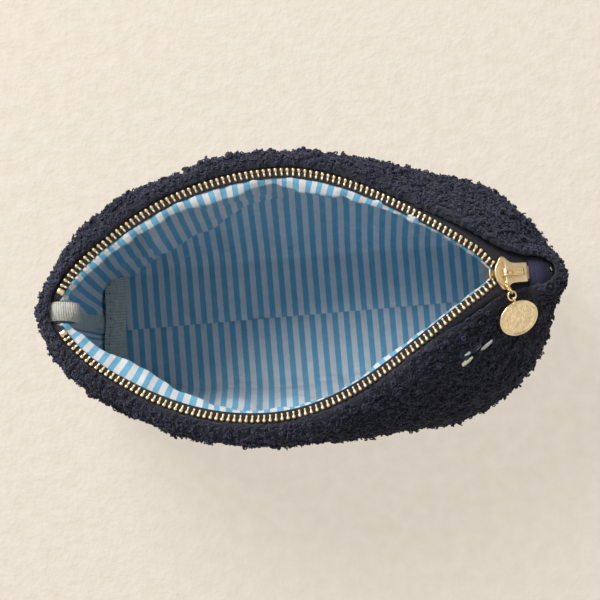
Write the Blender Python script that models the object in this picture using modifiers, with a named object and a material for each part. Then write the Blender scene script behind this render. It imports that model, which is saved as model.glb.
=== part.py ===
"""An open zippered pouch that stands on its boxed base: a fleece shell, a woven lining, a metal zip
with its slider and charm pull, and the grosgrain that binds the seams inside.

Metres, +Z up, +X towards the slider and -Y to the front. The soft panels are lofts: a rounded
rectangle at the base, a full belly and the long lens of the mouth, each divided evenly along its
length as the cloth is.
"""

import math

import bmesh
import bpy
import numpy as np
from mathutils import Euler, Matrix, Vector

MM = 0.001

# The mouth, measured on the seam where tape, shell and lining meet
MOUTH_LEFT = 107.0 * MM  # from the middle to the left side seam
MOUTH_RIGHT = 108.5 * MM
MOUTH_HALF_DEPTH = 58.0 * MM
FRONT_PEAK_X = -16.0 * MM  # where the front edge is deepest
BACK_PEAK_X = -8.0 * MM
LEFT_FULLNESS = 0.67  # exponents of the arc: under 1 is full, over 1 is pinched
FRONT_PINCH = 1.80
BACK_PINCH = 1.62
LEFT_END_HALF = 10.0 * MM  # half the width of the blunt end at each side seam
RIGHT_END_HALF = 7.9 * MM
END_BLUNTNESS = 20  # exponent
RIM_HEIGHT = 104.0 * MM
PEAK_RISE = 9.0 * MM  # the rim stands up where the slider holds it closed
PEAK_X = 68.0 * MM
PEAK_WIDTH = 26.0 * MM

# The base and the belly, on the same layer
BASE_HALF_LENGTH = 97.0 * MM
BASE_HALF_DEPTH = 31.5 * MM
BASE_SQUARENESS = 6.0
BASE_SHIFT = 2.0 * MM  # the base stands a little towards the slider's end of the mouth
BASE_ROUND = 5.0 * MM
BELLY_HALF_LENGTH = 112.0 * MM
BELLY_SHIFT = 5.0 * MM
FRONT_BELLY_HALF_DEPTH = 62.0 * MM
BACK_BELLY_HALF_DEPTH = 60.0 * MM
FRONT_BELLY_SKEW = 0.40  # share by which the belly is deeper at the right than in the middle
BACK_BELLY_SKEW = 0.10
BELLY_SQUARENESS = 3.6

# Layers
SHELL_THICKNESS = 4.4 * MM
LINING_THICKNESS = 0.8 * MM
LAYER_GAP = 0.9 * MM  # between shell and lining, where the zip tape goes
SEAM_GAP = 0.3 * MM
CLEARANCE = 0.3 * MM
COLUMNS = 30  # divisions along a panel
WALL_ROWS = 6
FLOOR_ROWS = 3

# Zip
TAPE_THICKNESS = 0.36 * MM
TAPE_IN_SEAM = 9.0 * MM
TOOTH_PITCH = 2.5 * MM
TOOTH_HEAD = 1.7 * MM  # from the middle of a row to the tip of its teeth
TOOTH_ROOT = 1.6 * MM
GAP_TIP = 0.2 * MM  # the bead's inner edge, between two teeth
TOOTH_HALF_THICKNESS = 1.2 * MM
BEAD_HALF_THICKNESS = 0.8 * MM
ROW_OFFSET = 6.0 * MM  # from the seam in to the row of teeth
ROW_OFFSET_LEFT = 3.4 * MM
ROW_RISE = 3.6 * MM  # how far the row stands above the seam
ROW_RISE_CLOSED = 1.0 * MM
ROW_CLOSED_HALF = 1.85 * MM
ROW_SETTLES = 30.0 * MM  # from the left seam to the full offset
CLOSING_FROM = 75.0 * MM
SINKING_FROM = 55.0 * MM  # the row comes down to the closed height between here...
SINKING_TO = 84.0 * MM  # ...and here
SHOULDER_OUT = 0.55  # shares of the way from the row to the seam
SHOULDER_DROP = 0.15
TAPE_FROM_BEAD = 0.5 * MM
TOP_STOP_FROM_SEAM = 10.0 * MM
TOP_STOP_LENGTH = 2.4 * MM
TOP_STOP_WIDTH = 2.9 * MM
TOP_STOP_BEVEL = 0.4 * MM

# Slider
SLIDER_X = 88.0 * MM
SLIDER_LENGTH = 15.8 * MM
SLIDER_WIDTH = 14.2 * MM
SLIDER_TAIL_WIDTH = 8.6 * MM
SLIDER_SIDE = (  # x, and how far in from the full half width, in millimetres, tail to mouth
    (0.8, 2.8),
    (-0.6, 1.9),
    (-1.9, 0.35),
    (-3.0, 0.0),
    (-4.3, 0.55),
    (-6.2, 2.9),
    (-7.4, 5.0),
    (-7.9, 6.2),
)
SLIDER_PLATE = 1.1 * MM
SLIDER_CHANNEL = 3.5 * MM
FLANGE_HEIGHT = 0.95 * MM
FLANGE_WIDTH = 0.5 * MM
WEDGE_LENGTH = 2.4 * MM
WEDGE_WIDTH = 1.3 * MM
WEDGE_FROM_MOUTH = 1.4 * MM
FLANGE_LENGTH = 5.5 * MM
SKIN = 0.02 * MM  # keeps faces that a join would otherwise bring together apart
CAP_FROM = -4.6 * MM
CAP_TO = 5.3 * MM
CAP_WIDTH = 3.0 * MM
CAP_HEIGHT = 3.5 * MM
CAP_LEG = 0.9 * MM
CAP_ROOF = 1.0 * MM
CAP_BEVEL = 0.7 * MM
SPRING_THICKNESS = 0.3 * MM
SPRING_WIDTH = 1.6 * MM
SPRING_FROM_BAR = 0.7 * MM
SPRING_LIFT = 1.3 * MM  # above the top plate

# Pull
BAIL_X = -2.7 * MM
BAIL_HALF_WIDTH = 4.9 * MM
BAIL_LENGTH = 4.8 * MM
BAIL_CORNER = 1.2 * MM
BAIL_WIRE = 0.5 * MM
LINK_TURN = math.radians(29)
LINK_SLOPE = math.radians(5)
LINK_REACH = 3.9 * MM
LINK_WIDTH = 1.2 * MM
LINK_EYE = 0.9 * MM
LINK_WALL = 0.45 * MM
RING_RADIUS = 1.9 * MM
RING_WIRE = 0.4 * MM
RING_SLOPE = math.radians(16)
RING_TURN = math.radians(20)  # the ring and charm hang a little towards +X
CHARM_HALF_LENGTH = 9.0 * MM
CHARM_HALF_HEIGHT = 8.2 * MM
CHARM_THICKNESS = 1.4 * MM
CHARM_RIM = 0.9 * MM
CHARM_RECESS = 0.35 * MM
CHARM_EYE = 0.75 * MM
CHARM_EYE_WALL = 0.55 * MM
CHARM_EAR_WIDTH = 1.2 * MM
EYE_FROM_DISC = 0.15 * MM
CHARM_SLOPE = math.radians(18)

# Tab and bindings
TAB_FROM_SLIDER = 2.2 * MM
TAB_LENGTH = 7.6 * MM
TAB_HALF_WIDTH = 6.0 * MM
TAB_THICKNESS = 0.8 * MM
STOP_LENGTH = 1.3 * MM
BINDING_THICKNESS = 1.2 * MM
BINDING_CLEARANCE = 0.7 * MM
BINDING_WIDTH = 10.0 * MM
BINDING_FROM_RIM = 3.0 * MM
BINDING_FROM_FLOOR = 0.4  # share of the lowest row of the wall that the side binding leaves free
CORNER_BINDING_WIDTH = 9.0 * MM
CORNER_BINDING_LENGTH = 42.0 * MM
CORNER_BINDING_FROM_WALL = 1.0 * MM
CORNER_BINDING_BEVEL = 0.4 * MM

FRONT, BACK = -1, 1
SAMPLES = 600
TINY = 1e-12  # for the corners where rows run together and a normal has no length

COLOURS = {  # base colour, metallic, roughness
    "fleece": ((0.012, 0.014, 0.032, 1), 0.0, 0.95),
    "lining": ((0.30, 0.60, 0.80, 1), 0.0, 0.8),
    "tape": ((0.010, 0.012, 0.030, 1), 0.0, 0.85),
    "gold": ((0.85, 0.62, 0.28, 1), 1.0, 0.22),
    "grosgrain_navy": ((0.020, 0.022, 0.065, 1), 0.0, 0.8),
    "grosgrain_cream": ((0.66, 0.64, 0.56, 1), 0.0, 0.85),
}


def clear_scene():
    for obj in list(bpy.data.objects):
        bpy.data.objects.remove(obj, do_unlink=True)


def make_collection(name):
    collection = bpy.data.collections.new(name)
    bpy.context.scene.collection.children.link(collection)
    return collection


def make_material(name):
    colour, metallic, roughness = COLOURS[name]
    material = bpy.data.materials.new(name)
    material.use_nodes = True
    shader = material.node_tree.nodes["Principled BSDF"]
    shader.inputs["Base Color"].default_value = colour
    shader.inputs["Metallic"].default_value = metallic
    shader.inputs["Roughness"].default_value = roughness
    material.diffuse_color = colour
    return material


def smoothstep(value, low, high):
    t = np.clip((value - low) / (high - low), 0.0, 1.0)
    return t * t * (3.0 - 2.0 * t)


# Sections of the soft body


def spaced_evenly(points, count):
    """The curve through the points, divided into equal lengths."""
    steps = np.linalg.norm(np.diff(points, axis=0), axis=1)
    along = np.concatenate([[0.0], np.cumsum(steps)])
    wanted = np.linspace(0.0, along[-1], count)
    return np.column_stack([np.interp(wanted, along, points[:, axis]) for axis in (0, 1)])


def box_section(side, shift, half_length, half_depth, squareness, skew=0.0):
    """Half a superellipse, from the left seam to the right one."""
    angle = np.linspace(math.pi, 0.0, SAMPLES)
    power = 2.0 / squareness
    share = np.sign(np.cos(angle)) * np.abs(np.cos(angle)) ** power
    depth = half_depth * np.abs(np.sin(angle)) ** power * (1.0 + skew * share)
    return np.column_stack([shift + half_length * share, side * depth])


def base_section(side):
    return box_section(side, BASE_SHIFT, BASE_HALF_LENGTH, BASE_HALF_DEPTH, BASE_SQUARENESS)


def belly_section(side):
    depth = FRONT_BELLY_HALF_DEPTH if side == FRONT else BACK_BELLY_HALF_DEPTH
    skew = FRONT_BELLY_SKEW if side == FRONT else BACK_BELLY_SKEW
    return box_section(side, BELLY_SHIFT, BELLY_HALF_LENGTH, depth, BELLY_SQUARENESS, skew)


def mouth_section(side):
    """The mouth's edge: full at the left, drawn in at the right, with blunt ends at the seams."""
    peak = FRONT_PEAK_X if side == FRONT else BACK_PEAK_X
    pinch = FRONT_PINCH if side == FRONT else BACK_PINCH
    angle = np.linspace(math.pi, 0.0, SAMPLES)
    share = np.cos(angle)
    reach = np.where(share < 0, MOUTH_LEFT + peak, MOUTH_RIGHT - peak)
    fullness = np.where(share < 0, LEFT_FULLNESS, pinch)
    end_half = np.where(share < 0, LEFT_END_HALF, RIGHT_END_HALF)
    arc = MOUTH_HALF_DEPTH * np.sin(angle) ** (2.0 * fullness)
    end = end_half * np.sqrt(1.0 - np.abs(share) ** END_BLUNTNESS)
    depth = (arc**4 + end**4) ** 0.25
    return np.column_stack([peak + share * reach, side * depth])


def outward(section):
    """Unit normals of a section, along X at both seams."""
    run = np.gradient(section, axis=0)
    side = np.sign(section[len(section) // 2, 1])
    normal = np.column_stack([-run[:, 1], run[:, 0]]) * side
    normal /= np.linalg.norm(normal, axis=1)[:, None]
    normal[0], normal[-1] = (-1.0, 0.0), (1.0, 0.0)
    return normal


def rim_height(x):
    return RIM_HEIGHT + PEAK_RISE * np.exp(-(((x - PEAK_X) / PEAK_WIDTH) ** 2))


def wall_section(side, share, count):
    """The section at a share of the height, and the height of each of its points."""
    base = spaced_evenly(base_section(side), count)
    belly = spaced_evenly(belly_section(side), count)
    mouth = spaced_evenly(mouth_section(side), count)
    low, middle, high = (1 - share) ** 2, 2 * share * (1 - share), share**2
    section = low * base + middle * belly + high * mouth
    return section, floor_height() + share * (rim_height(mouth[:, 0]) - floor_height())


def wall_foot():
    """Share of the height at which the wall turns in to the floor."""
    return BASE_ROUND / RIM_HEIGHT


def floor_height():
    """Height of the layer between shell and lining at the floor."""
    return SHELL_THICKNESS + LAYER_GAP / 2


def wall_shares():
    """Shares of the height of the wall's rows: the first step down is as deep as the zip tape."""
    below = 1 - TAPE_IN_SEAM / RIM_HEIGHT
    return [1.0, *np.linspace(below, wall_foot(), WALL_ROWS)]


def panel_grid(side):
    """Rows of points of one panel on the layer between shell and lining, rim first."""
    count = COLUMNS + 1
    rows = []
    for share in wall_shares():
        section, height = wall_section(side, share, count)
        rows.append(np.column_stack([section, height]))
    section, _ = wall_section(side, 0.0, count)
    normal = outward(section)
    for angle in (math.radians(45), 0.0):
        inset = BASE_ROUND * (1 - math.sin(angle))
        height = floor_height() + BASE_ROUND * (1 - math.cos(angle))
        rows.append(np.column_stack([section - normal * inset, np.full(count, height)]))
    edge = rows[-1]
    seam = edge.copy()
    seam[:, 0] = np.linspace(edge[0, 0], edge[-1, 0], count)
    seam[:, 1] = 0.0
    for share in np.linspace(0.0, 1.0, FLOOR_ROWS + 1)[1:]:
        rows.append(edge + (seam - edge) * share)
    return np.array(rows)


def grid_normals(rows):
    along, across = np.gradient(rows, axis=1), np.gradient(rows, axis=0)
    normal = np.cross(along, across)
    return normal / np.maximum(np.linalg.norm(normal, axis=2), TINY)[:, :, None]


def panel_normals(side):
    """Outward normals of the panel, kept in the plane of the seams along its edges."""
    normal = grid_normals(panel_grid(side))
    if normal[0, COLUMNS // 2, 1] * side < 0:
        normal = -normal
    normal[:, 0, 1] = normal[:, -1, 1] = 0.0
    normal[-FLOOR_ROWS:] = (0.0, 0.0, -1.0)
    normal /= np.linalg.norm(normal, axis=2)[:, :, None]
    level = normal[0] * (1.0, 1.0, 0.0)  # the rim is cut level, with each layer's thickness kept
    normal[0] = level / (level**2).sum(axis=1)[:, None]
    return normal


def panel_rows(side, offset):
    """The panel's rows moved out by offset, half a seam's gap from the other panel."""
    rows = panel_grid(side) + panel_normals(side) * offset
    rows[:, :, 1] += side * SEAM_GAP / 2
    return rows


def closed_between(name, outer, inner):
    """A mesh with one face grid on the outer rows, one on the inner rows and walls at the edges."""
    bm = bmesh.new()
    rows, columns = outer.shape[:2]
    faces_of = [
        [[bm.verts.new(point) for point in row] for row in grid] for grid in (outer, inner)
    ]
    for grid in faces_of:
        for i in range(rows - 1):
            for j in range(columns - 1):
                bm.faces.new((grid[i][j], grid[i][j + 1], grid[i + 1][j + 1], grid[i + 1][j]))
    top, under = faces_of
    ring = [(0, j) for j in range(columns)] + [(i, columns - 1) for i in range(1, rows)]
    ring += [(rows - 1, j) for j in range(columns - 2, -1, -1)]
    ring += [(i, 0) for i in range(rows - 2, 0, -1)]
    for (i, j), (k, m) in zip(ring, ring[1:] + ring[:1]):
        bm.faces.new((top[i][j], top[k][m], under[k][m], under[i][j]))
    bmesh.ops.recalc_face_normals(bm, faces=bm.faces)
    if bm.calc_volume(signed=True) < 0:
        bmesh.ops.reverse_faces(bm, faces=bm.faces)
    mesh = bpy.data.meshes.new(name)
    bm.to_mesh(mesh)
    bm.free()
    return mesh


def add(name, mesh, material, collection, parent, smooth=True):
    obj = bpy.data.objects.new(name, mesh)
    collection.objects.link(obj)
    obj.parent = parent
    mesh.materials.append(material)
    if smooth:
        mesh.shade_smooth()
        mesh.set_sharp_from_angle(angle=math.radians(40))
    return obj


# Zip


def row_line(side, count=COLUMNS + 1):
    """Middle line of a row of teeth, and of the seam that its tape is sewn into."""
    section = spaced_evenly(mouth_section(side), count)
    normal = outward(section)
    offset = ROW_OFFSET_LEFT + (ROW_OFFSET - ROW_OFFSET_LEFT) * smoothstep(
        section[:, 0], -MOUTH_LEFT, -MOUTH_LEFT + ROW_SETTLES
    )
    row = section - normal * offset[:, None]
    closing = smoothstep(row[:, 0], CLOSING_FROM, SLIDER_X)
    row[:, 1] += (side * ROW_CLOSED_HALF - row[:, 1]) * closing
    rise = ROW_RISE + (ROW_RISE_CLOSED - ROW_RISE) * smoothstep(
        row[:, 0], SINKING_FROM, SINKING_TO
    )
    line = np.column_stack([row, rim_height(row[:, 0]) + rise])
    return line, np.column_stack([section, rim_height(section[:, 0])])


def tape_shoulder(row, seam):
    """The tape runs out nearly flat from the teeth to here, then turns down to its seam."""
    shoulder = row + (seam - row) * SHOULDER_OUT
    shoulder[:, 2] = row[:, 2] + (seam[:, 2] - row[:, 2]) * SHOULDER_DROP
    return shoulder


def make_tape(side, name, material, collection, parent):
    row, seam = row_line(side)
    shoulder = tape_shoulder(row, seam)
    across = (shoulder - row) / np.linalg.norm(shoulder - row, axis=1)[:, None]
    edge = row + across * (TOOTH_ROOT + TAPE_FROM_BEAD)
    panel, facing = panel_grid(side), panel_normals(side)
    rows = np.array([edge, shoulder, panel[0], panel[1]])
    normal = grid_normals(rows)
    if normal[1, COLUMNS // 2, 2] < 0:
        normal = -normal
    normal[2:] = facing[:2]
    rows[:, :, 1] += side * SEAM_GAP / 2
    rows, normal = rows[:, 1:-1], normal[:, 1:-1] * TAPE_THICKNESS / 2
    mesh = closed_between(name, rows + normal, rows - normal)
    return add(name, mesh, material, collection, parent)


def lengths_along(line):
    return np.concatenate([[0.0], np.cumsum(np.linalg.norm(np.diff(line, axis=0), axis=1))])


def read_at(line, along, distances):
    """Points of a line at distances along it, or along another line with the same points."""
    return np.column_stack([np.interp(distances, along, line[:, axis]) for axis in range(3)])


def fine_row(side):
    """The row's line cut from the top stop to the bottom stop, with the tape beside it."""
    row, seam = row_line(side, SAMPLES)
    shoulder = tape_shoulder(row, seam)
    stop = SLIDER_X + SLIDER_LENGTH / 2 + CLEARANCE
    start = TOP_STOP_FROM_SEAM + TOP_STOP_LENGTH + CLEARANCE
    along = lengths_along(seam)
    keep = (along > start) & (row[:, 0] < stop)
    return row[keep], shoulder[keep]


def tooth_frames(side):
    """(centre, across, thickness direction) at each tooth and at each gap between two teeth."""
    row, shoulder = fine_row(side)
    along = lengths_along(row)
    count = int(along[-1] / TOOTH_PITCH)
    distances = np.arange(2 * count + 1) * TOOTH_PITCH / 2
    centres = read_at(row, along, distances)
    across = read_at(shoulder, along, distances) - centres
    across /= np.linalg.norm(across, axis=1)[:, None]
    run = np.gradient(centres, axis=0)
    run /= np.linalg.norm(run, axis=1)[:, None]
    up = np.cross(run, across) * -side
    up /= np.linalg.norm(up, axis=1)[:, None]
    return centres, across, up


def make_teeth(side, name, material, collection, parent):
    """One comb: the bead on the tape's edge, and a pointed tooth at every pitch."""
    centres, across, up = tooth_frames(side)
    bm = bmesh.new()
    rings = []
    for i, (centre, out, high) in enumerate(zip(centres, across, up)):
        tooth = i % 2
        tip = -TOOTH_HEAD if tooth else GAP_TIP
        half = TOOTH_HALF_THICKNESS if tooth else BEAD_HALF_THICKNESS
        corners = ((tip, -half), (tip, half), (TOOTH_ROOT, half), (TOOTH_ROOT, -half))
        rings.append([bm.verts.new(centre + out * a + high * b) for a, b in corners])
    for first, second in zip(rings, rings[1:]):
        for k in range(4):
            n = (k + 1) % 4
            bm.faces.new((first[k], first[n], second[n], second[k]))
    bm.faces.new(rings[0])
    bm.faces.new(rings[-1])
    bmesh.ops.recalc_face_normals(bm, faces=bm.faces)
    mesh = bpy.data.meshes.new(name)
    bm.to_mesh(mesh)
    bm.free()
    return add(name, mesh, material, collection, parent, smooth=False)


def frame_at(side, distance):
    """Matrix at a distance along the seam: X along the row, Y away from the mouth."""
    row, seam = row_line(side, SAMPLES)
    along = lengths_along(seam)
    spot, ahead = (Vector(point) for point in read_at(row, along, [distance, distance + MM]))
    beside = Vector(read_at(tape_shoulder(row, seam), along, [distance])[0])
    x_axis = (ahead - spot).normalized()
    out = beside - spot
    y_axis = (out - out.dot(x_axis) * x_axis).normalized()
    z_axis = x_axis.cross(y_axis)
    turn = Matrix((x_axis, y_axis, z_axis)).transposed().to_4x4()
    return Matrix.Translation(spot) @ turn


def make_box(name, size, material, collection, parent, matrix=None):
    bm = bmesh.new()
    bmesh.ops.create_cube(bm, size=1.0)
    bmesh.ops.scale(bm, vec=size, verts=bm.verts)
    mesh = bpy.data.meshes.new(name)
    bm.to_mesh(mesh)
    bm.free()
    obj = add(name, mesh, material, collection, parent, smooth=False)
    if matrix is not None:
        obj.matrix_local = matrix
    return obj


def bevelled(obj, width, segments=1):
    bevel = obj.modifiers.new("Rounded edges", "BEVEL")
    bevel.width = width
    bevel.segments = segments
    return obj


def make_top_stop(side, name, material, collection, parent):
    middle = TOP_STOP_FROM_SEAM + TOP_STOP_LENGTH / 2
    size = (TOP_STOP_LENGTH, TOP_STOP_WIDTH, 2 * TOOTH_HALF_THICKNESS)
    stop = make_box(name, size, material, collection, parent, frame_at(side, middle))
    return bevelled(stop, TOP_STOP_BEVEL)


# Slider


def slider_pitch():
    """How far the closed rim leans down towards +X under the slider."""
    step = 2 * MM
    drop = rim_height(SLIDER_X - step) - rim_height(SLIDER_X + step)
    return math.atan2(drop, 2 * step)


def outline_plate(name, outlines, thickness, collection):
    """A flat plate with its outer outline first and its holes after it, as a mesh object."""
    curve = bpy.data.curves.new(name, "CURVE")
    curve.dimensions = "2D"
    curve.fill_mode = "BOTH"
    curve.extrude = thickness / 2
    for points in outlines:
        spline = curve.splines.new("POLY")
        spline.points.add(len(points) - 1)
        for point, (x, y) in zip(spline.points, points):
            point.co = (x, y, 0.0, 1.0)
        spline.use_cyclic_u = True
    guide = bpy.data.objects.new(name + "_outline", curve)
    collection.objects.link(guide)
    graph = bpy.context.evaluated_depsgraph_get()
    mesh = bpy.data.meshes.new_from_object(guide.evaluated_get(graph))
    bpy.data.objects.remove(guide, do_unlink=True)
    bm = bmesh.new()
    bm.from_mesh(mesh)
    bmesh.ops.remove_doubles(bm, verts=bm.verts, dist=0.001 * MM)
    bmesh.ops.recalc_face_normals(bm, faces=bm.faces)
    bm.to_mesh(mesh)
    bm.free()
    mesh.name = name
    return mesh


def slider_outline():
    """Top view of a plate: a rounded mouth at -X, shoulders, then the straight tail."""
    side = [(SLIDER_LENGTH / 2, SLIDER_TAIL_WIDTH / 2)]
    side += [(x * MM, SLIDER_WIDTH / 2 - inset * MM) for x, inset in SLIDER_SIDE]
    return side + [(x, -y) for x, y in reversed(side)]


def joined(obj, helper):
    boolean = obj.modifiers.new("Join " + helper.name, "BOOLEAN")
    boolean.operation = "UNION"
    boolean.object = helper
    hide(helper)


def cut(obj, helper):
    boolean = obj.modifiers.new("Cut " + helper.name, "BOOLEAN")
    boolean.operation = "DIFFERENCE"
    boolean.object = helper
    hide(helper)


def hide(helper):
    helper.hide_render = True
    helper.display_type = "WIRE"


def make_slider(material, parts, helpers, parent):
    level = SLIDER_CHANNEL / 2 + SLIDER_PLATE / 2
    outline = [slider_outline()]
    top_mesh = outline_plate("slider_body", outline, SLIDER_PLATE, helpers)
    body = add("slider_body", top_mesh, material, parts, parent)
    body.location.z = level
    under_mesh = outline_plate("slider_under_plate", outline, SLIDER_PLATE, helpers)
    under = add("slider_under_plate", under_mesh, material, helpers, parent)
    under.location.z = -level
    wedge_size = (WEDGE_LENGTH, WEDGE_WIDTH, SLIDER_CHANNEL + SLIDER_PLATE)
    wedge = make_box("slider_wedge", wedge_size, material, helpers, parent)
    wedge.location.x = -SLIDER_LENGTH / 2 + WEDGE_FROM_MOUTH + WEDGE_LENGTH / 2
    pieces = [under, wedge]
    flange_size = (FLANGE_LENGTH, FLANGE_WIDTH, FLANGE_HEIGHT + SLIDER_PLATE / 2)
    for side in (FRONT, BACK):
        for up in (-1, 1):
            flange = make_box(f"slider_flange_{side}_{up}", flange_size, material, helpers, parent)
            flange.location.x = SLIDER_LENGTH / 2 - FLANGE_LENGTH / 2 - SKIN
            flange.location.y = side * (SLIDER_TAIL_WIDTH / 2 - FLANGE_WIDTH / 2 - SKIN)
            flange.location.z = up * (SLIDER_CHANNEL / 2 - FLANGE_HEIGHT / 2 + SLIDER_PLATE / 4)
            pieces.append(flange)
    for piece in pieces:
        joined(body, piece)
    return body


def plate_top():
    return SLIDER_CHANNEL / 2 + SLIDER_PLATE


def bail_height():
    return plate_top() + 2 * CLEARANCE + LINK_EYE + LINK_WALL


def make_cap(material, parts, helpers, parent):
    """The bridge over the top plate, with the gap that the bail's bar lies in."""
    length = CAP_TO - CAP_FROM
    cap = make_box("slider_cap", (length, CAP_WIDTH, CAP_HEIGHT), material, parts, parent)
    cap.location = ((CAP_FROM + CAP_TO) / 2, 0, plate_top() + CLEARANCE + CAP_HEIGHT / 2)
    bevelled(cap, CAP_BEVEL, 2)
    gap_size = (length - 2 * CAP_LEG, 2 * CAP_WIDTH, CAP_HEIGHT)
    gap = make_box("slider_cap_gap", gap_size, material, helpers, parent)
    gap.location = cap.location + Vector((0, 0, -CAP_ROOF))
    cut(cap, gap)
    return cap


def make_spring(material, parts, parent):
    """The leaf that locks the teeth, held between the cap's roof and the plate."""
    start = BAIL_X + BAIL_WIRE + SPRING_FROM_BAR
    end = CAP_TO - CAP_LEG - CLEARANCE
    size = (end - start, SPRING_WIDTH, SPRING_THICKNESS)
    spring = make_box("lock_spring", size, material, parts, parent)
    spring.location = ((start + end) / 2, 0, plate_top() + SPRING_LIFT)
    return spring


def wire(name, points, radius, material, collection, parent, cyclic=True):
    curve = bpy.data.curves.new(name, "CURVE")
    curve.dimensions = "3D"
    curve.bevel_depth = radius
    curve.bevel_resolution = 1
    curve.use_fill_caps = not cyclic
    spline = curve.splines.new("POLY")
    spline.points.add(len(points) - 1)
    for point, place in zip(spline.points, points):
        point.co = (*place, 1.0)
    spline.use_cyclic_u = cyclic
    obj = bpy.data.objects.new(name, curve)
    collection.objects.link(obj)
    obj.parent = parent
    curve.materials.append(material)
    return obj


def arc(centre, radius, start, end, count):
    return [
        (centre[0] + radius * math.cos(a), centre[1] + radius * math.sin(a), 0.0)
        for a in np.linspace(start, end, count)
    ]


def bail_line():
    """A D: the bar on the joint's axis at the origin, and the bow towards -X."""
    half, corner = BAIL_HALF_WIDTH, BAIL_CORNER
    points = arc((-corner, half - corner), corner, 0.0, math.pi / 2, 4)
    for angle in np.linspace(math.pi / 2, 3 * math.pi / 2, 13)[1:-1]:
        reach = BAIL_LENGTH - corner
        points.append((-corner + reach * math.cos(angle), half * math.sin(angle), 0.0))
    points += arc((-corner, -half + corner), corner, -math.pi / 2, 0.0, 4)
    return points


def link_eye_place():
    """Where the link hangs on the bail: its front corner, in the slider's frame."""
    x = BAIL_X - BAIL_CORNER + BAIL_CORNER * math.sin(LINK_TURN)
    y = -BAIL_HALF_WIDTH + BAIL_CORNER - BAIL_CORNER * math.cos(LINK_TURN)
    return Vector((x, y, bail_height()))


def make_link(material, parts, helpers, parent):
    """A strap with an eye at each end, in the plane that holds both: X is the hinge's axis."""
    outer = LINK_EYE + LINK_WALL
    outline = arc((0, 0), outer, 0.0, math.pi, 9)
    outline += arc((0, -LINK_REACH), outer, math.pi, 2 * math.pi, 9)
    holes = [arc((0, y), LINK_EYE, 0, 2 * math.pi, 13)[:-1] for y in (0, -LINK_REACH)]
    flat = [[(x, y) for x, y, _ in points] for points in [outline] + holes]
    mesh = outline_plate("pull_link", flat, LINK_WIDTH, helpers)
    link = add("pull_link", mesh, material, parts, parent)
    link.rotation_euler = Euler((0, math.radians(90), 0))
    return link


def make_charm(material, parts, helpers, parent):
    """An oval disc with a raised rim, hung from an eye at its edge: the eye's middle is the origin."""
    reach = CHARM_HALF_HEIGHT + CHARM_EYE + EYE_FROM_DISC
    size = (CHARM_HALF_LENGTH, CHARM_HALF_HEIGHT, CHARM_THICKNESS)
    disc = oval("pull_charm", size, material, parts, parent)
    disc.location = (0, -reach, 0)
    recess_size = (CHARM_HALF_LENGTH - CHARM_RIM, CHARM_HALF_HEIGHT - CHARM_RIM, CHARM_THICKNESS)
    recess = oval("charm_recess", recess_size, material, helpers, parent)
    recess.location = (0, -reach, CHARM_THICKNESS - CHARM_RECESS)
    ear_radius = CHARM_EYE + CHARM_EYE_WALL
    ear_size = (ear_radius, ear_radius, CHARM_EAR_WIDTH)
    eye_size = (CHARM_EYE, CHARM_EYE, 3 * CHARM_EAR_WIDTH)
    ear = oval("charm_ear", ear_size, material, helpers, parent, 20)
    eye = oval("charm_eye", eye_size, material, helpers, parent, 16)
    for piece in (ear, eye):
        piece.rotation_euler = Euler((0, math.radians(90), 0))
    cut(disc, recess)
    joined(disc, ear)
    cut(disc, eye)
    return disc


def oval(name, size, material, collection, parent, sides=40):
    half_length, half_height, thickness = size
    bm = bmesh.new()
    bmesh.ops.create_cone(
        bm, cap_ends=True, segments=sides, radius1=1.0, radius2=1.0, depth=thickness
    )
    bmesh.ops.scale(bm, vec=(half_length, half_height, 1.0), verts=bm.verts)
    mesh = bpy.data.meshes.new(name)
    bm.to_mesh(mesh)
    bm.free()
    return add(name, mesh, material, collection, parent)


# Tab, bottom stop and bindings


def make_tab(name, material, collection, parent):
    """Grosgrain over the end of the zip, on the slope of the rim behind the slider."""
    start = SLIDER_X + SLIDER_LENGTH / 2 + TAB_FROM_SLIDER
    x = np.linspace(start, start + TAB_LENGTH, 5)
    y = np.linspace(-TAB_HALF_WIDTH, TAB_HALF_WIDTH, 5)
    lift = TAPE_THICKNESS / 2 + CLEARANCE + ROW_RISE_CLOSED + TAB_THICKNESS / 2
    rows = np.array([[(a, b, float(rim_height(a)) + lift) for a in x] for b in y])
    normal = grid_normals(rows) * TAB_THICKNESS / 2
    mesh = closed_between(name, rows + normal, rows - normal)
    return add(name, mesh, material, collection, parent)


def make_side_binding(end, name, material, collection, parent):
    """The bound side seam, from just under the rim to the corner binding; end is -1 or 1."""
    inset = LAYER_GAP / 2 + LINING_THICKNESS + BINDING_CLEARANCE + BINDING_THICKNESS / 2
    wanted = np.linspace(0, BINDING_WIDTH / 2, 4)
    rows = []
    for side in (FRONT, BACK):
        wall = panel_rows(side, -inset)[: WALL_ROWS + 1]
        wall[0] += (wall[1] - wall[0]) * BINDING_FROM_RIM / TAPE_IN_SEAM
        wall[-1] += (wall[-2] - wall[-1]) * BINDING_FROM_FLOOR
        wall = wall[:, ::-1] if end > 0 else wall
        half = np.array([read_at(row, lengths_along(row), wanted) for row in wall])
        rows.append(half[:, :0:-1] if side == FRONT else half[:, 1:])
    rows = np.concatenate(rows, axis=1)
    normal = grid_normals(rows) * BINDING_THICKNESS / 2
    mesh = closed_between(name, rows + normal, rows - normal)
    return add(name, mesh, material, collection, parent)


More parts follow.
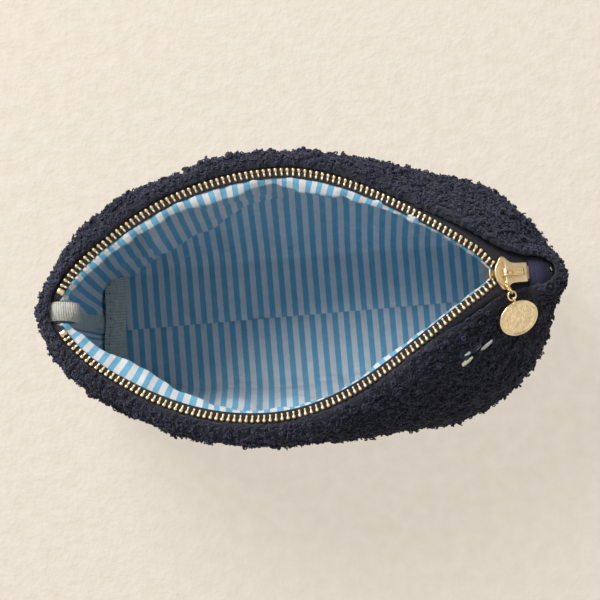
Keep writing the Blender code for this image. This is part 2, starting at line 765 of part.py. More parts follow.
def make_corner_binding(end, name, material, collection, parent):
    """The bound edge across the floor's end."""
    lining_top = floor_height() + LAYER_GAP / 2 + LINING_THICKNESS
    size = (CORNER_BINDING_WIDTH, CORNER_BINDING_LENGTH, BINDING_THICKNESS)
    binding = make_box(name, size, material, collection, parent)
    inner = BASE_HALF_LENGTH - BASE_ROUND - LAYER_GAP / 2 - LINING_THICKNESS
    x = inner - CORNER_BINDING_WIDTH / 2 - CORNER_BINDING_FROM_WALL
    binding.location = (BASE_SHIFT + end * x, 0, lining_top + CLEARANCE + BINDING_THICKNESS / 2)
    return bevelled(binding, CORNER_BINDING_BEVEL)


def empty(name, parent, location, rotation=(0, 0, 0)):
    """An axis that a moving piece is parented to."""
    obj = bpy.data.objects.new(name, None)
    obj.empty_display_size = 4 * MM
    bpy.context.scene.collection.objects.link(obj)
    obj.parent = parent
    obj.location = location
    obj.rotation_euler = Euler(rotation)
    return obj


def main():
    clear_scene()
    parts = make_collection("zippered_pouch")
    helpers = make_collection("cutters")
    materials = {name: make_material(name) for name in COLOURS}

    outer = LAYER_GAP / 2 + SHELL_THICKNESS
    grids = {side: panel_rows(side, outer) for side in (FRONT, BACK)}
    corners = np.concatenate([grid.reshape(-1, 3) for grid in grids.values()])
    middle = (corners.min(axis=0) + corners.max(axis=0)) / 2
    pouch = empty("pouch", None, (-middle[0], -middle[1], 0.0))

    for side, word in ((FRONT, "front"), (BACK, "back")):
        shell = closed_between("shell_" + word, grids[side], panel_rows(side, LAYER_GAP / 2))
        add("shell_" + word, shell, materials["fleece"], parts, pouch)
        lining = closed_between(
            "lining_" + word,
            panel_rows(side, -LAYER_GAP / 2),
            panel_rows(side, -LAYER_GAP / 2 - LINING_THICKNESS),
        )
        add("lining_" + word, lining, materials["lining"], parts, pouch)
        make_tape(side, "zip_tape_" + word, materials["tape"], parts, pouch)
        make_teeth(side, "teeth_" + word, materials["gold"], parts, pouch)
        make_top_stop(side, "top_stop_" + word, materials["gold"], parts, pouch)
    for end, word in ((-1, "left"), (1, "right")):
        make_side_binding(end, "side_binding_" + word, materials["grosgrain_cream"], parts, pouch)
        make_corner_binding(end, "corner_binding_" + word, materials["grosgrain_cream"], parts, pouch)
    make_tab("zip_end_tab", materials["grosgrain_navy"], parts, pouch)

    pitch = slider_pitch()
    chain_height = float(rim_height(SLIDER_X)) + ROW_RISE_CLOSED
    slider = empty("slider_axis", pouch, (SLIDER_X, 0, chain_height), (0, pitch, 0))
    gold = materials["gold"]
    make_slider(gold, parts, helpers, slider)
    make_cap(gold, parts, helpers, slider)
    make_spring(gold, parts, slider)
    bail = empty("bail_axis", slider, (BAIL_X, 0, bail_height()))
    wire("pull_bail", bail_line(), BAIL_WIRE, gold, parts, bail)
    link = empty("link_axis", bail, link_eye_place() - bail.location, (LINK_SLOPE, 0, LINK_TURN))
    make_link(gold, parts, helpers, link)
    ring_turn = (RING_SLOPE - LINK_SLOPE, 0, RING_TURN - LINK_TURN)
    ring = empty("ring_axis", link, (0, -LINK_REACH, 0), ring_turn)
    circle = arc((0, -RING_RADIUS), RING_RADIUS, 0, 2 * math.pi, 21)[:-1]
    wire("charm_ring", circle, RING_WIRE, gold, parts, ring)
    charm = empty("charm_axis", ring, (0, -2 * RING_RADIUS, 0), (CHARM_SLOPE - RING_SLOPE, 0, 0))
    make_charm(gold, parts, helpers, charm)

    stop_size = (STOP_LENGTH, 2 * ROW_CLOSED_HALF + TOOTH_ROOT, 2 * TOOTH_HALF_THICKNESS)
    stop_x = SLIDER_X + SLIDER_LENGTH / 2 + CLEARANCE + STOP_LENGTH / 2
    stop = make_box("bottom_stop", stop_size, gold, parts, pouch)
    stop.matrix_local = Matrix.Translation(
        (stop_x, 0, float(rim_height(stop_x)) + ROW_RISE_CLOSED)
    ) @ Matrix.Rotation(pitch, 4, "Y")


main()
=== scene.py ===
"""Looks of an open zippered pouch: curly fleece outside, a striped woven lining, a metal zip and its charm.

Lengths are metres, from millimetres, in the CAD's frame: +X towards the slider, -Y the front, +Z up.
"""

import math

import bmesh
import bpy
import numpy as np
from mathutils import Matrix, Vector


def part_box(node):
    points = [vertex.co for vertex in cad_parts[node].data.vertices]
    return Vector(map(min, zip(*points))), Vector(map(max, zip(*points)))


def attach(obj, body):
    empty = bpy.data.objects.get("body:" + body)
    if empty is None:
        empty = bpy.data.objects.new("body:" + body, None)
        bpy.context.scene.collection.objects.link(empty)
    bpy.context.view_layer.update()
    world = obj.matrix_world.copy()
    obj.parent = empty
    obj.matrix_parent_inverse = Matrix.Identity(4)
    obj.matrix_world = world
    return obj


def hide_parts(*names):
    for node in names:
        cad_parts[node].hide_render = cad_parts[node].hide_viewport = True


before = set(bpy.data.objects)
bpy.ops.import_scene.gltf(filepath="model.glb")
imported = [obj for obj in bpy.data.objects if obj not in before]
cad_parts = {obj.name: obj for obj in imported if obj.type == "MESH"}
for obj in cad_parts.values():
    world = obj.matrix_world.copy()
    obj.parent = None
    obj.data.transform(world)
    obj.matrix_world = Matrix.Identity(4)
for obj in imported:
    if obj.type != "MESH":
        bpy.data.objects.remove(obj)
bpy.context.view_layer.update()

MM = 0.001
FRONT, BACK = -1, 1
WORD = {FRONT: "front", BACK: "back"}
rng = np.random.default_rng(7)

# The loft that the CAD's soft panels follow
MIDDLE = np.array((2.062, -0.225, 0.0)) * MM  # the middle of the CAD's box, on the loft's own axes
MOUTH_LEFT = 107.0 * MM
MOUTH_RIGHT = 108.5 * MM
MOUTH_HALF_DEPTH = 58.0 * MM
PEAK_AT = {FRONT: -16.0 * MM, BACK: -8.0 * MM}
PINCH = {FRONT: 1.80, BACK: 1.62}
LEFT_FULLNESS = 0.67
LEFT_END_HALF = 10.0 * MM
RIGHT_END_HALF = 7.9 * MM
RIM_HEIGHT = 104.0 * MM
RISE = 9.0 * MM
RISE_X = 68.0 * MM
RISE_WIDTH = 26.0 * MM
BASE_HALF_LENGTH = 97.0 * MM
BASE_HALF_DEPTH = 31.5 * MM
BASE_SHIFT = 2.0 * MM
BASE_ROUND = 5.0 * MM
BELLY_HALF_LENGTH = 112.0 * MM
BELLY_SHIFT = 5.0 * MM
BELLY_HALF_DEPTH = {FRONT: 62.0 * MM, BACK: 60.0 * MM}
BELLY_SKEW = {FRONT: 0.40, BACK: 0.10}
SHELL_THICKNESS = 4.4 * MM
LAYER_GAP = 0.9 * MM
FLOOR_LAYER = SHELL_THICKNESS + LAYER_GAP / 2
ROW_OFFSET = 6.0 * MM
ROW_OFFSET_LEFT = 3.4 * MM
ROW_RISE = 3.6 * MM
ROW_RISE_CLOSED = 1.0 * MM
ROW_CLOSED_HALF = 1.85 * MM
CLOSING_FROM = 75.0 * MM
SLIDER_X = 88.0 * MM
SLIDER_LENGTH = 15.8 * MM
TOOTH_PITCH = 2.5 * MM
CLOTH_LENGTH = 250.0 * MM  # of one panel, from side seam to side seam
STRIPE_PERIOD = 5.7 * MM
STRIPE_SHIFT = {FRONT: 0.0, BACK: 0.37}  # of a period, so that the stripes don't meet at the floor's seam
SAMPLES = 600


# Helpers for numbers


def smoothstep(value, low, high):
    t = np.clip((value - low) / (high - low), 0.0, 1.0)
    return t * t * (3.0 - 2.0 * t)


def through(x, points):
    """A smooth curve through a few (x, value) points, level past its ends."""
    xs, values = np.array(points).T
    i = np.clip(np.searchsorted(xs, x) - 1, 0, len(xs) - 2)
    t = np.clip((x - xs[i]) / (xs[i + 1] - xs[i]), 0.0, 1.0)
    return values[i] + (values[i + 1] - values[i]) * t * t * (3.0 - 2.0 * t)


def length_along(points):
    """How far along a line each of its points lies."""
    return np.concatenate([[0.0], np.cumsum(np.linalg.norm(np.diff(points, axis=0), axis=1))])


def length_down(rows):
    """How far down a grid each of its points lies, from its first row."""
    return np.cumsum(np.linalg.norm(np.diff(rows, axis=0, prepend=rows[:1]), axis=2), axis=0)


def boxed(value, power):
    """Squares off a sine or cosine, so that a round section gets flatter sides."""
    return np.sign(value) * np.abs(value) ** power


def unit(vectors):
    return vectors / np.maximum(np.linalg.norm(vectors, axis=-1, keepdims=True), 1e-9)


def waves(shape_u, shape_v, count, longest, shortest, seed):
    """A smooth random field from -1 to 1 or so: a sum of plane waves over two coordinates in metres."""
    source = np.random.default_rng(seed)
    field = np.zeros(np.broadcast(shape_u, shape_v).shape)
    for _ in range(count):
        length = source.uniform(shortest, longest)
        turn = source.uniform(0, 2 * math.pi)
        phase = source.uniform(0, 2 * math.pi)
        along = shape_u * math.cos(turn) + shape_v * math.sin(turn)
        field += np.sin(2 * math.pi * along / length + phase)
    return field / math.sqrt(count)


# The loft


def spaced_evenly(points, count):
    along = length_along(points)
    wanted = np.linspace(0.0, along[-1], count)
    return np.column_stack([np.interp(wanted, along, points[:, axis]) for axis in (0, 1)])


def box_section(side, shift, half_length, half_depth, squareness, skew=0.0):
    angle = np.linspace(math.pi, 0.0, SAMPLES)
    power = 2.0 / squareness
    share = np.sign(np.cos(angle)) * np.abs(np.cos(angle)) ** power
    depth = half_depth * np.abs(np.sin(angle)) ** power * (1.0 + skew * share)
    return np.column_stack([shift + half_length * share, side * depth])


def mouth_section(side):
    peak, pinch = PEAK_AT[side], PINCH[side]
    angle = np.linspace(math.pi, 0.0, SAMPLES)
    share = np.cos(angle)
    reach = np.where(share < 0, MOUTH_LEFT + peak, MOUTH_RIGHT - peak)
    fullness = np.where(share < 0, LEFT_FULLNESS, pinch)
    end_half = np.where(share < 0, LEFT_END_HALF, RIGHT_END_HALF)
    arc = MOUTH_HALF_DEPTH * np.sin(angle) ** (2.0 * fullness)
    end = end_half * np.sqrt(1.0 - np.abs(share) ** 20)
    return np.column_stack([peak + share * reach, side * (arc**4 + end**4) ** 0.25])


def rim_height(x):
    return RIM_HEIGHT + RISE * np.exp(-(((x - RISE_X) / RISE_WIDTH) ** 2))


def outward(section):
    run = np.gradient(section, axis=0)
    side = np.sign(section[len(section) // 2, 1])
    normal = unit(np.column_stack([-run[:, 1], run[:, 0]]) * side)
    normal[0], normal[-1] = (-1.0, 0.0), (1.0, 0.0)
    return normal


def sections(side, count):
    """Base, belly and mouth, each divided evenly into the same columns."""
    base = box_section(side, BASE_SHIFT, BASE_HALF_LENGTH, BASE_HALF_DEPTH, 6.0)
    belly = box_section(
        side, BELLY_SHIFT, BELLY_HALF_LENGTH, BELLY_HALF_DEPTH[side], 3.6, BELLY_SKEW[side]
    )
    return [spaced_evenly(section, count) for section in (base, belly, mouth_section(side))]


def wall_row(side, three, share):
    base, belly, mouth = three
    low, middle, high = (1 - share) ** 2, 2 * share * (1 - share), share**2
    height = FLOOR_LAYER + share * (rim_height(mouth[:, 0]) - FLOOR_LAYER)
    return np.column_stack([low * base + middle * belly + high * mouth, height])


def layer(side, count, wall_rows, turn_rows, floor_rows, taut=0.0):
    """The layer between shell and lining, rim first, with its outward normals. Taut takes out the belly."""
    three = sections(side, count)
    three[1] = three[1] + ((three[0] + three[2]) / 2 - three[1]) * taut
    foot = BASE_ROUND / RIM_HEIGHT
    rows = [wall_row(side, three, share) for share in np.linspace(1.0, foot, wall_rows)]
    edge_normal = outward(three[0])
    for angle in np.linspace(math.pi / 2, 0.0, turn_rows + 2)[1:]:
        inset = BASE_ROUND * (1 - math.sin(angle))
        height = FLOOR_LAYER + BASE_ROUND * (1 - math.cos(angle))
        rows.append(np.column_stack([three[0] - edge_normal * inset, np.full(count, height)]))
    edge = rows[-1]
    seam = edge.copy()
    seam[:, 0] = np.linspace(edge[0, 0], edge[-1, 0], count)
    seam[:, 1] = 0.0
    for share in np.linspace(0.0, 1.0, floor_rows + 1)[1:]:
        rows.append(edge + (seam - edge) * share)
    rows = np.array(rows)
    normal = unit(np.cross(np.gradient(rows, axis=1), np.gradient(rows, axis=0)))
    if normal[wall_rows // 2, count // 2, 1] * side < 0:
        normal = -normal
    normal[:, (0, -1), 1] = 0.0
    normal[-floor_rows:] = (0.0, 0.0, -1.0)
    return rows - MIDDLE, unit(normal)


def row_offset(x):
    """How far inside the rim's seam the row of teeth lies."""
    share = smoothstep(x, -MOUTH_LEFT, -MOUTH_LEFT + 30 * MM)
    return ROW_OFFSET_LEFT + (ROW_OFFSET - ROW_OFFSET_LEFT) * share


def row_line(side, count=SAMPLES):
    """The row of teeth, and the seam under it."""
    section = spaced_evenly(mouth_section(side), count)
    row = section - outward(section) * row_offset(section[:, 0])[:, None]
    closing = smoothstep(row[:, 0], CLOSING_FROM, SLIDER_X)
    row[:, 1] += (side * ROW_CLOSED_HALF - row[:, 1]) * closing
    rise = ROW_RISE + (ROW_RISE_CLOSED - ROW_RISE) * smoothstep(
        row[:, 0], CLOSING_FROM - 20 * MM, SLIDER_X - 4 * MM
    )
    line = np.column_stack([row, rim_height(row[:, 0]) + rise])
    seam = np.column_stack([section, rim_height(section[:, 0])])
    return line - MIDDLE, seam - MIDDLE


# Helpers for meshes


def new_object(name, data):
    obj = bpy.data.objects.new(name, data)
    bpy.context.scene.collection.objects.link(obj)
    return obj


def mesh_object(name, vertices, faces, material, body):
    mesh = bpy.data.meshes.new(name)
    mesh.from_pydata(np.asarray(vertices).reshape(-1, 3).tolist(), [], faces)
    mesh.validate()
    mesh.shade_smooth()
    mesh.set_sharp_from_angle(angle=math.radians(50))
    obj = new_object(name, mesh)
    finish(obj, material, body)
    return obj


def finish(obj, material, body):
    obj.data.materials.append(material)
    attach(obj, body)


def grid_faces(rows, columns, start=0, flip=False):
    faces = []
    for i in range(rows - 1):
        for j in range(columns - 1):
            a = start + i * columns + j
            face = (a, a + 1, a + columns + 1, a + columns)
            faces.append(face[::-1] if flip else face)
    return faces


def cloth(name, outer, inner, material, slot, uv=None):
    """A closed sheet between two grids of points. uv gives (u, v) for each point of a grid."""
    rows, columns = outer.shape[:2]
    size = rows * columns
    faces = grid_faces(rows, columns) + grid_faces(rows, columns, size, True)
    ring = list(range(columns))
    ring += [i * columns + columns - 1 for i in range(1, rows)]
    ring += [(rows - 1) * columns + j for j in range(columns - 2, -1, -1)]
    ring += [i * columns for i in range(rows - 2, 0, -1)]
    for a, b in zip(ring, ring[1:] + ring[:1]):
        faces.append((b, a, a + size, b + size))
    vertices = np.concatenate([outer.reshape(-1, 3), inner.reshape(-1, 3)])
    obj = mesh_object(name, vertices, faces, material, "pouch")
    bm = bmesh.new()
    bm.from_mesh(obj.data)
    if bm.calc_volume(signed=True) < 0:
        bmesh.ops.reverse_faces(bm, faces=bm.faces)
        bm.to_mesh(obj.data)
    bm.free()
    if uv is not None:
        both = np.concatenate([uv.reshape(-1, 2)] * 2)
        loops = np.empty(len(obj.data.loops), np.int32)
        obj.data.loops.foreach_get("vertex_index", loops)
        weave = obj.data.uv_layers.new(name="cloth")
        weave.uv.foreach_set("vector", both[loops].astype(np.float32).ravel())
    return obj


def sheet_normals(rows, like):
    """Normals of a grid, on the side that like points to at the grid's middle."""
    normal = unit(np.cross(np.gradient(rows, axis=1), np.gradient(rows, axis=0)))
    i, j = rows.shape[0] // 2, rows.shape[1] // 2
    return -normal if np.dot(normal[i, j], like) < 0 else normal


def lofted(rings, matrix=None):
    """The closed tube through rings of equal size, as vertices and faces."""
    count = len(rings[0])
    faces = []
    for r in range(len(rings) - 1):
        for k in range(count):
            a, b = r * count + k, r * count + (k + 1) % count
            faces.append((a, b, b + count, a + count))
    last = (len(rings) - 1) * count
    faces.append(tuple(range(count))[::-1])
    faces.append(tuple(range(last, last + count)))
    vertices = np.concatenate(rings)
    return (vertices if matrix is None else turned(matrix, vertices)), faces


def tube(points, radii, across, sides=8):
    """Rings round a path. across is one direction that never lies along it."""
    points = np.array(points, float)
    run = unit(np.gradient(points, axis=0))
    first = unit(np.cross(run, across))
    second = unit(np.cross(run, first))
    radii = np.broadcast_to(radii, len(points))
    angles = np.arange(sides) * 2 * math.pi / sides
    return [
        p + radius * (np.cos(angles)[:, None] * a + np.sin(angles)[:, None] * b)
        for p, radius, a, b in zip(points, radii, first, second)
    ]


def arc(x, y, reach_x, reach_y, angles):
    """Points of an ellipse round (x, y), level."""
    return [(x + reach_x * math.cos(a), y + reach_y * math.sin(a), 0.0) for a in angles]


def circle(centre, radius, count=36):
    return arc(*centre, radius, radius, np.arange(count) * 2 * math.pi / count)


def turned(matrix, points):
    return [matrix @ Vector(point) for point in points]


def joined_mesh(name, solids, material, body):
    """One piece from several closed solids, each (vertices, faces)."""
    vertices, faces = [], []
    for points, polygons in solids:
        start = len(vertices)
        vertices += [tuple(point) for point in points]
        faces += [tuple(start + k for k in polygon) for polygon in polygons]
    return mesh_object(name, np.array(vertices), faces, material, body)


# Materials


class Nodes:
    """A material's node tree, with short calls for the nodes used here."""

    def __init__(self, name):
        self.material = bpy.data.materials.new(name)
        self.material.use_nodes = True
        self.tree = self.material.node_tree
        self.shader = self.tree.nodes["Principled BSDF"]

    def add(self, kind, **values):
        node = self.tree.nodes.new("ShaderNode" + kind)
        for key, value in values.items():
            if hasattr(node, key):
                setattr(node, key, value)
            else:
                node.inputs[key.replace("_", " ")].default_value = value
        return node

    def link(self, source, target):
        self.tree.links.new(source, target)

    def place(self):
        return self.add("TexCoord").outputs["Object"]

    def cloth_map(self):
        """The two coordinates of a cloth's own map."""
        parts = self.add("SeparateXYZ")
        self.link(self.add("UVMap", uv_map="cloth").outputs["UV"], parts.inputs[0])
        return parts.outputs[0], parts.outputs[1]

    def noise(self, scale, detail=3.0, roughness=0.55):
        node = self.add("TexNoise", Scale=scale, Detail=detail, Roughness=roughness)
        self.link(self.place(), node.inputs["Vector"])
        return node.outputs["Fac"]

    def ramp(self, factor, *stops):
        node = self.add("ValToRGB")
        elements = node.color_ramp.elements
        while len(elements) < len(stops):
            elements.new(0.5)
        for element, (position, colour) in zip(elements, stops):
            element.position = position
            element.color = (*colour, 1.0)
        self.link(factor, node.inputs["Fac"])
        return node.outputs["Color"]

    def math(self, operation, a, b=0.0, c=0.0):
        node = self.add("Math", operation=operation)
        for socket, value in zip(node.inputs, (a, b, c)):
            if isinstance(value, (int, float)):
                socket.default_value = value
            else:
                self.link(value, socket)
        return node.outputs[0]

    def mix(self, factor, a, b):
        """A mix of two colours. The Mix node keeps its colour sockets at these places."""
        node = self.add("Mix", data_type="RGBA")
        for socket, source in ((0, factor), (6, a), (7, b)):
            self.link(source, node.inputs[socket])
        return node.outputs[2]

    def bump(self, height, strength, distance):
        node = self.add("Bump", Strength=strength, Distance=distance)
        self.link(height, node.inputs["Height"])
        self.link(node.outputs["Normal"], self.shader.inputs["Normal"])

    def set(self, **values):
        for key, value in values.items():
            self.shader.inputs[key.replace("_", " ")].default_value = value

    def colour(self, source):
        self.link(source, self.shader.inputs["Base Color"])

    def roughness(self, source):
        self.link(source, self.shader.inputs["Roughness"])


STRIPE_THREADS = 14  # warp threads in one pair of stripes
WEFT_PER_METRE = 2500
YARN_PITCH = 0.42 * MM
TAPE_RIB = 1.4 * MM
TAPE_TWILL = 0.7 * MM


def fleece_material(name, dark, light, nub_depth):
    n = Nodes(name)
    tone = n.noise(420.0, 4.0, 0.6)
    n.colour(n.ramp(tone, (0.30, dark), (0.72, light)))
    nubs = n.add("TexVoronoi", feature="F1", Scale=620.0)
    n.link(n.place(), nubs.inputs["Vector"])
    height = n.math("MULTIPLY_ADD", nubs.outputs["Distance"], -1.2, n.noise(1900.0, 3.0))
    n.bump(height, 0.9, nub_depth)
    n.roughness(n.math("MULTIPLY_ADD", tone, 0.2, 0.72))
    n.set(Sheen_Weight=0.22, Sheen_Roughness=0.4, Sheen_Tint=(0.55, 0.6, 0.85, 1.0))
    return n.material


def lining_material():
    """Sky blue and white stripes along the cloth's first coordinate, which counts stripe pairs."""
    n = Nodes("striped_lining")
    across, down = n.cloth_map()
    ragged = n.math("MULTIPLY_ADD", n.noise(900.0, 2.0), 0.05, across)
    phase = n.math("FRACT", ragged)
    edge = n.math("ABSOLUTE", n.math("SUBTRACT", phase, 0.5))
    white = n.ramp(edge, (0.235, (0, 0, 0)), (0.262, (1, 1, 1)))
    mottled = n.noise(260.0, 4.0, 0.6)
    blue = n.ramp(mottled, (0.3, (0.125, 0.39, 0.60)), (0.75, (0.165, 0.465, 0.69)))
    pale = n.ramp(mottled, (0.3, (0.65, 0.665, 0.70)), (0.75, (0.76, 0.78, 0.82)))
    n.colour(n.mix(white, blue, pale))
    warp = n.math("SINE", n.math("MULTIPLY", across, 2 * math.pi * STRIPE_THREADS))
    weft = n.math("SINE", n.math("MULTIPLY", down, 2 * math.pi * WEFT_PER_METRE))
    threads = n.math("MULTIPLY", warp, weft)
    slubs = n.math("MULTIPLY_ADD", n.noise(700.0, 3.0), 2.0, threads)
    n.bump(slubs, 0.25, 0.12 * MM)
    n.roughness(n.math("MULTIPLY_ADD", mottled, 0.25, 0.55))
    n.set(Sheen_Weight=0.15)
    return n.material


def ribbed_material(name, dark, light, pitch):
    """Grosgrain: rounded ribs across the ribbon, along its own map, with fine yarn in them. Its colour is
    darker in the grooves of ribs and yarn, where the bump is low: painted shade, over a random mottle.
    """
    n = Nodes(name)
    across, along = n.cloth_map()
    ribs = n.math("SINE", n.math("MULTIPLY", along, 2 * math.pi / pitch))
    yarn = n.math("SINE", n.math("MULTIPLY", across, 2 * math.pi / YARN_PITCH))
    mottled = n.noise(600.0, 4.0, 0.6)
    # Painted shade: ribs and yarn darken the colour in their grooves; the mottle is random tone.
    shade = n.math("MULTIPLY_ADD", ribs, 0.30, n.math("MULTIPLY_ADD", yarn, 0.16, mottled))
    n.colour(n.ramp(shade, (0.15, dark), (0.85, light)))
    height = n.math("MULTIPLY_ADD", yarn, 0.3, ribs)
    n.bump(height, 0.6, 0.25 * MM)
    n.roughness(n.math("MULTIPLY_ADD", mottled, 0.2, 0.62))
    n.set(Sheen_Weight=0.2, Sheen_Roughness=0.4)
    return n.material


def tape_material():
    """Woven zip tape: a fine herringbone along the tape, in its bump and, as painted shade, in its colour,
    darker in the twill's grooves.
    """
    n = Nodes("zip_tape")
    along, across = n.cloth_map()
    rib = n.math("PINGPONG", n.math("MULTIPLY", across, 1 / TAPE_RIB), 0.5)
    slant = n.math("MULTIPLY_ADD", rib, 1.2, n.math("MULTIPLY", along, 1 / TAPE_TWILL))
    twill = n.math("SINE", n.math("MULTIPLY", slant, 2 * math.pi))
    # Painted shade: the twill darkens the colour where its bump is low; the noise is random tone.
    tone = n.math("MULTIPLY_ADD", twill, 0.3, n.noise(800.0, 3.0))
    n.colour(n.ramp(tone, (0.2, (0.004, 0.005, 0.011)), (0.9, (0.026, 0.028, 0.048))))
    n.bump(twill, 0.6, 0.2 * MM)
    n.set(Roughness=0.7, Sheen_Weight=0.2, Sheen_Roughness=0.4)
    return n.material


def gold_material(name, roughness, uneven, shade=1.0):
    """Pale gold plating with waves from the casting and hairline wear. Shade darkens its colour as painted
    shade.
    """
    n = Nodes(name)
    n.set(Metallic=1.0)
    tone = n.noise(300.0, 3.0)
    low, high = ([shade * c for c in colour] for colour in ((0.80, 0.61, 0.33), (0.90, 0.73, 0.45)))
    n.colour(n.ramp(tone, (0.3, low), (0.7, high)))
    n.roughness(n.math("MULTIPLY_ADD", n.noise(1500.0, 4.0, 0.7), 0.2, roughness))
    n.bump(n.noise(380.0, 2.0), uneven, 0.5 * MM)
    return n.material


def thread_material(name, colour):
    n = Nodes(name)
    tone = n.noise(2500.0, 2.0)
    darker = tuple(0.6 * c for c in colour)
    n.colour(n.ramp(tone, (0.3, darker), (0.7, colour)))
    n.bump(tone, 0.3, 0.1 * MM)
    n.set(Roughness=0.4, Sheen_Weight=0.3)
    return n.material


# The ground's colours are darker than those of the curls of the same yarn: painted shade in the gaps between
# the curls.
FLEECE_GROUND_PAINTED_SHADE = fleece_material("fleece_ground_painted_shade", (0.005, 0.0055, 0.011), (0.022, 0.024, 0.044), 0.9 * MM)
FLEECE_PILE = fleece_material("fleece_curls", (0.005, 0.006, 0.014), (0.060, 0.067, 0.120), 0.2 * MM)
LINING = lining_material()
TAPE = tape_material()
GOLD = gold_material("pale_gold", 0.22, 0.08)
# Gold darkened by the factor 0.12: painted shade for the patch over the locking pin's opening.
GOLD_PAINTED_SHADE = gold_material("gold_painted_slot_shade", 0.45, 0.3, 0.12)
GOLD_TEETH = gold_material("gold_teeth", 0.2, 0.05)
GOLD_CHARM = gold_material("gold_charm", 0.15, 0.7)
CREAM = ribbed_material("cream_grosgrain", (0.36, 0.365, 0.33), (0.92, 0.91, 0.84), 0.72 * MM)
NAVY = ribbed_material("navy_grosgrain", (0.008, 0.009, 0.032), (0.046, 0.049, 0.125), 0.75 * MM)
NAVY_THREAD = thread_material("navy_thread", (0.045, 0.05, 0.10))
GREY_THREAD = thread_material("grey_thread", (0.10, 0.12, 0.13))
LIME_THREAD = thread_material("lime_thread", (0.55, 0.62, 0.30))


# Fleece

PILE = 1.0 * MM  # how deep the curls stand on the ground cloth
KNOB = 0.9 * MM
HEM_RISE = 1.6 * MM  # how far the folded edge stands over the tape
HEM_FROM_TEETH = 2.2 * MM  # how far from the middle of the row it ends
HEM_REACH_SLIDER = 0.6 * MM  # from the seam
HEM_STEPS = 8
FLEECE_COLUMNS = 360
FLEECE_ROWS = 96
CURLS = 8000  # on each side
CURL_POINTS = 8
CURL_YARN = 0.34 * MM


def fleece_surface(side, columns, wall_rows):
    """The outer face of the fleece with its hem rolled in over the tape, hem first, and its normals."""
    rows, normal = layer(side, columns, wall_rows, 4, 8)
    outer = rows + normal * (LAYER_GAP / 2 + SHELL_THICKNESS - PILE)
    out = unit(normal[0] * (1.0, 1.0, 0.0))
    x = rows[0][:, 0] + MIDDLE[0]
    reach = row_offset(x) - HEM_FROM_TEETH
    reach = reach + (HEM_REACH_SLIDER - reach) * smoothstep(x, 50 * MM, 78 * MM)
    top = rows[0] + out * (LAYER_GAP / 2 + SHELL_THICKNESS - PILE)
    low = ROW_RISE + 0.5 * MM
    hem = []
    for angle in np.linspace(math.pi, 0.0, HEM_STEPS + 1)[:-1]:
        middle = (top + rows[0] - out * reach[:, None]) / 2
        half = (np.linalg.norm((top - rows[0])[:, :2], axis=1) + reach) / 2
        lift = low * (1 - math.cos(angle)) / 2 + (HEM_RISE + 1.2 * MM) * math.sin(angle)
        ring = middle + out * (half * math.cos(angle))[:, None]
        ring[:, 2] = rows[0][:, 2] + lift
        hem.append(ring)
    outer = np.concatenate([np.array(hem), outer])
    normals = sheet_normals(outer, (0.0, side, 0.0))
    normals[:, (0, -1), 1] = 0.0
    return outer, unit(normals), rows, normal


def room_under_pull(points):
    """How high the pile may stand at each point, so that it stays under the link, ring and charm."""
    spots = [(AT_LINK @ Vector((0, y, 0)), 1.6) for y in np.linspace(1.0 * MM, -LINK_REACH, 8)]
    spots += [(AT_RING @ Vector(p), 1.3) for p in circle((0, -RING_RADIUS), RING_RADIUS, 12)]
    middle = CHARM_EYE - CHARM_HALF_HEIGHT
    turn = np.arange(0, 2 * math.pi, math.pi / 12)
    for share in (0.35, 0.7, 1.0):
        oval = arc(0, middle, share * CHARM_HALF_LENGTH, share * CHARM_HALF_HEIGHT, turn)
        spots += [(AT_CHARM @ Vector(p), 2.1) for p in oval]
    ceiling = np.full(points.shape[:-1], 1.0)
    for spot, gap in spots:
        away = np.hypot(points[..., 0] - spot.x, points[..., 1] - spot.y)
        ceiling = np.minimum(ceiling, spot.z - gap * MM + 1.3 * np.maximum(away - 1.8 * MM, 0.0))
    return ceiling


def make_fleece(side):
    name = "fleece_" + WORD[side]
    outer, normals, rows, inner_normal = fleece_surface(side, FLEECE_COLUMNS, FLEECE_ROWS)
    u = np.linspace(0, CLOTH_LENGTH, outer.shape[1])[None, :] * np.ones((len(outer), 1))
    v = length_down(outer)
    knobs = 2.4 * np.abs(waves(u, v, 16, 9.0 * MM, 4.2 * MM, 11 + side)) - 1.2
    knobs += 0.5 * waves(u, v, 16, 3.6 * MM, 2.2 * MM, 71 + side)
    slack = waves(u, v, 8, 60 * MM, 24 * MM, 31 + side)
    grounded = smoothstep(outer[:, :, 2], 2 * MM, 14 * MM)
    push = KNOB * 0.55 * knobs * (0.25 + 0.75 * grounded) + 0.8 * MM * slack * grounded
    push[: HEM_STEPS - 2] *= 0.35
    displaced = outer + normals * push[:, :, None]
    displaced[:, :, 2] = np.maximum(displaced[:, :, 2], 0.3 * MM)
    displaced[:, :, 2] = np.minimum(displaced[:, :, 2], room_under_pull(displaced))
    edge = displaced[:HEM_STEPS]
    under = np.repeat(rows[:1] + inner_normal[:1] * LAYER_GAP, HEM_STEPS, axis=0)
    share = np.linspace(1.0, 0.15, HEM_STEPS)[:, None, None]
    under = under + (edge - normals[:HEM_STEPS] * 1.1 * MM - under) * share
    inner = np.concatenate([under, rows + inner_normal * LAYER_GAP])
    obj = cloth(name, displaced, inner, FLEECE_GROUND_PAINTED_SHADE, "fleece")
    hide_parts("shell_" + WORD[side])
    return displaced, normals


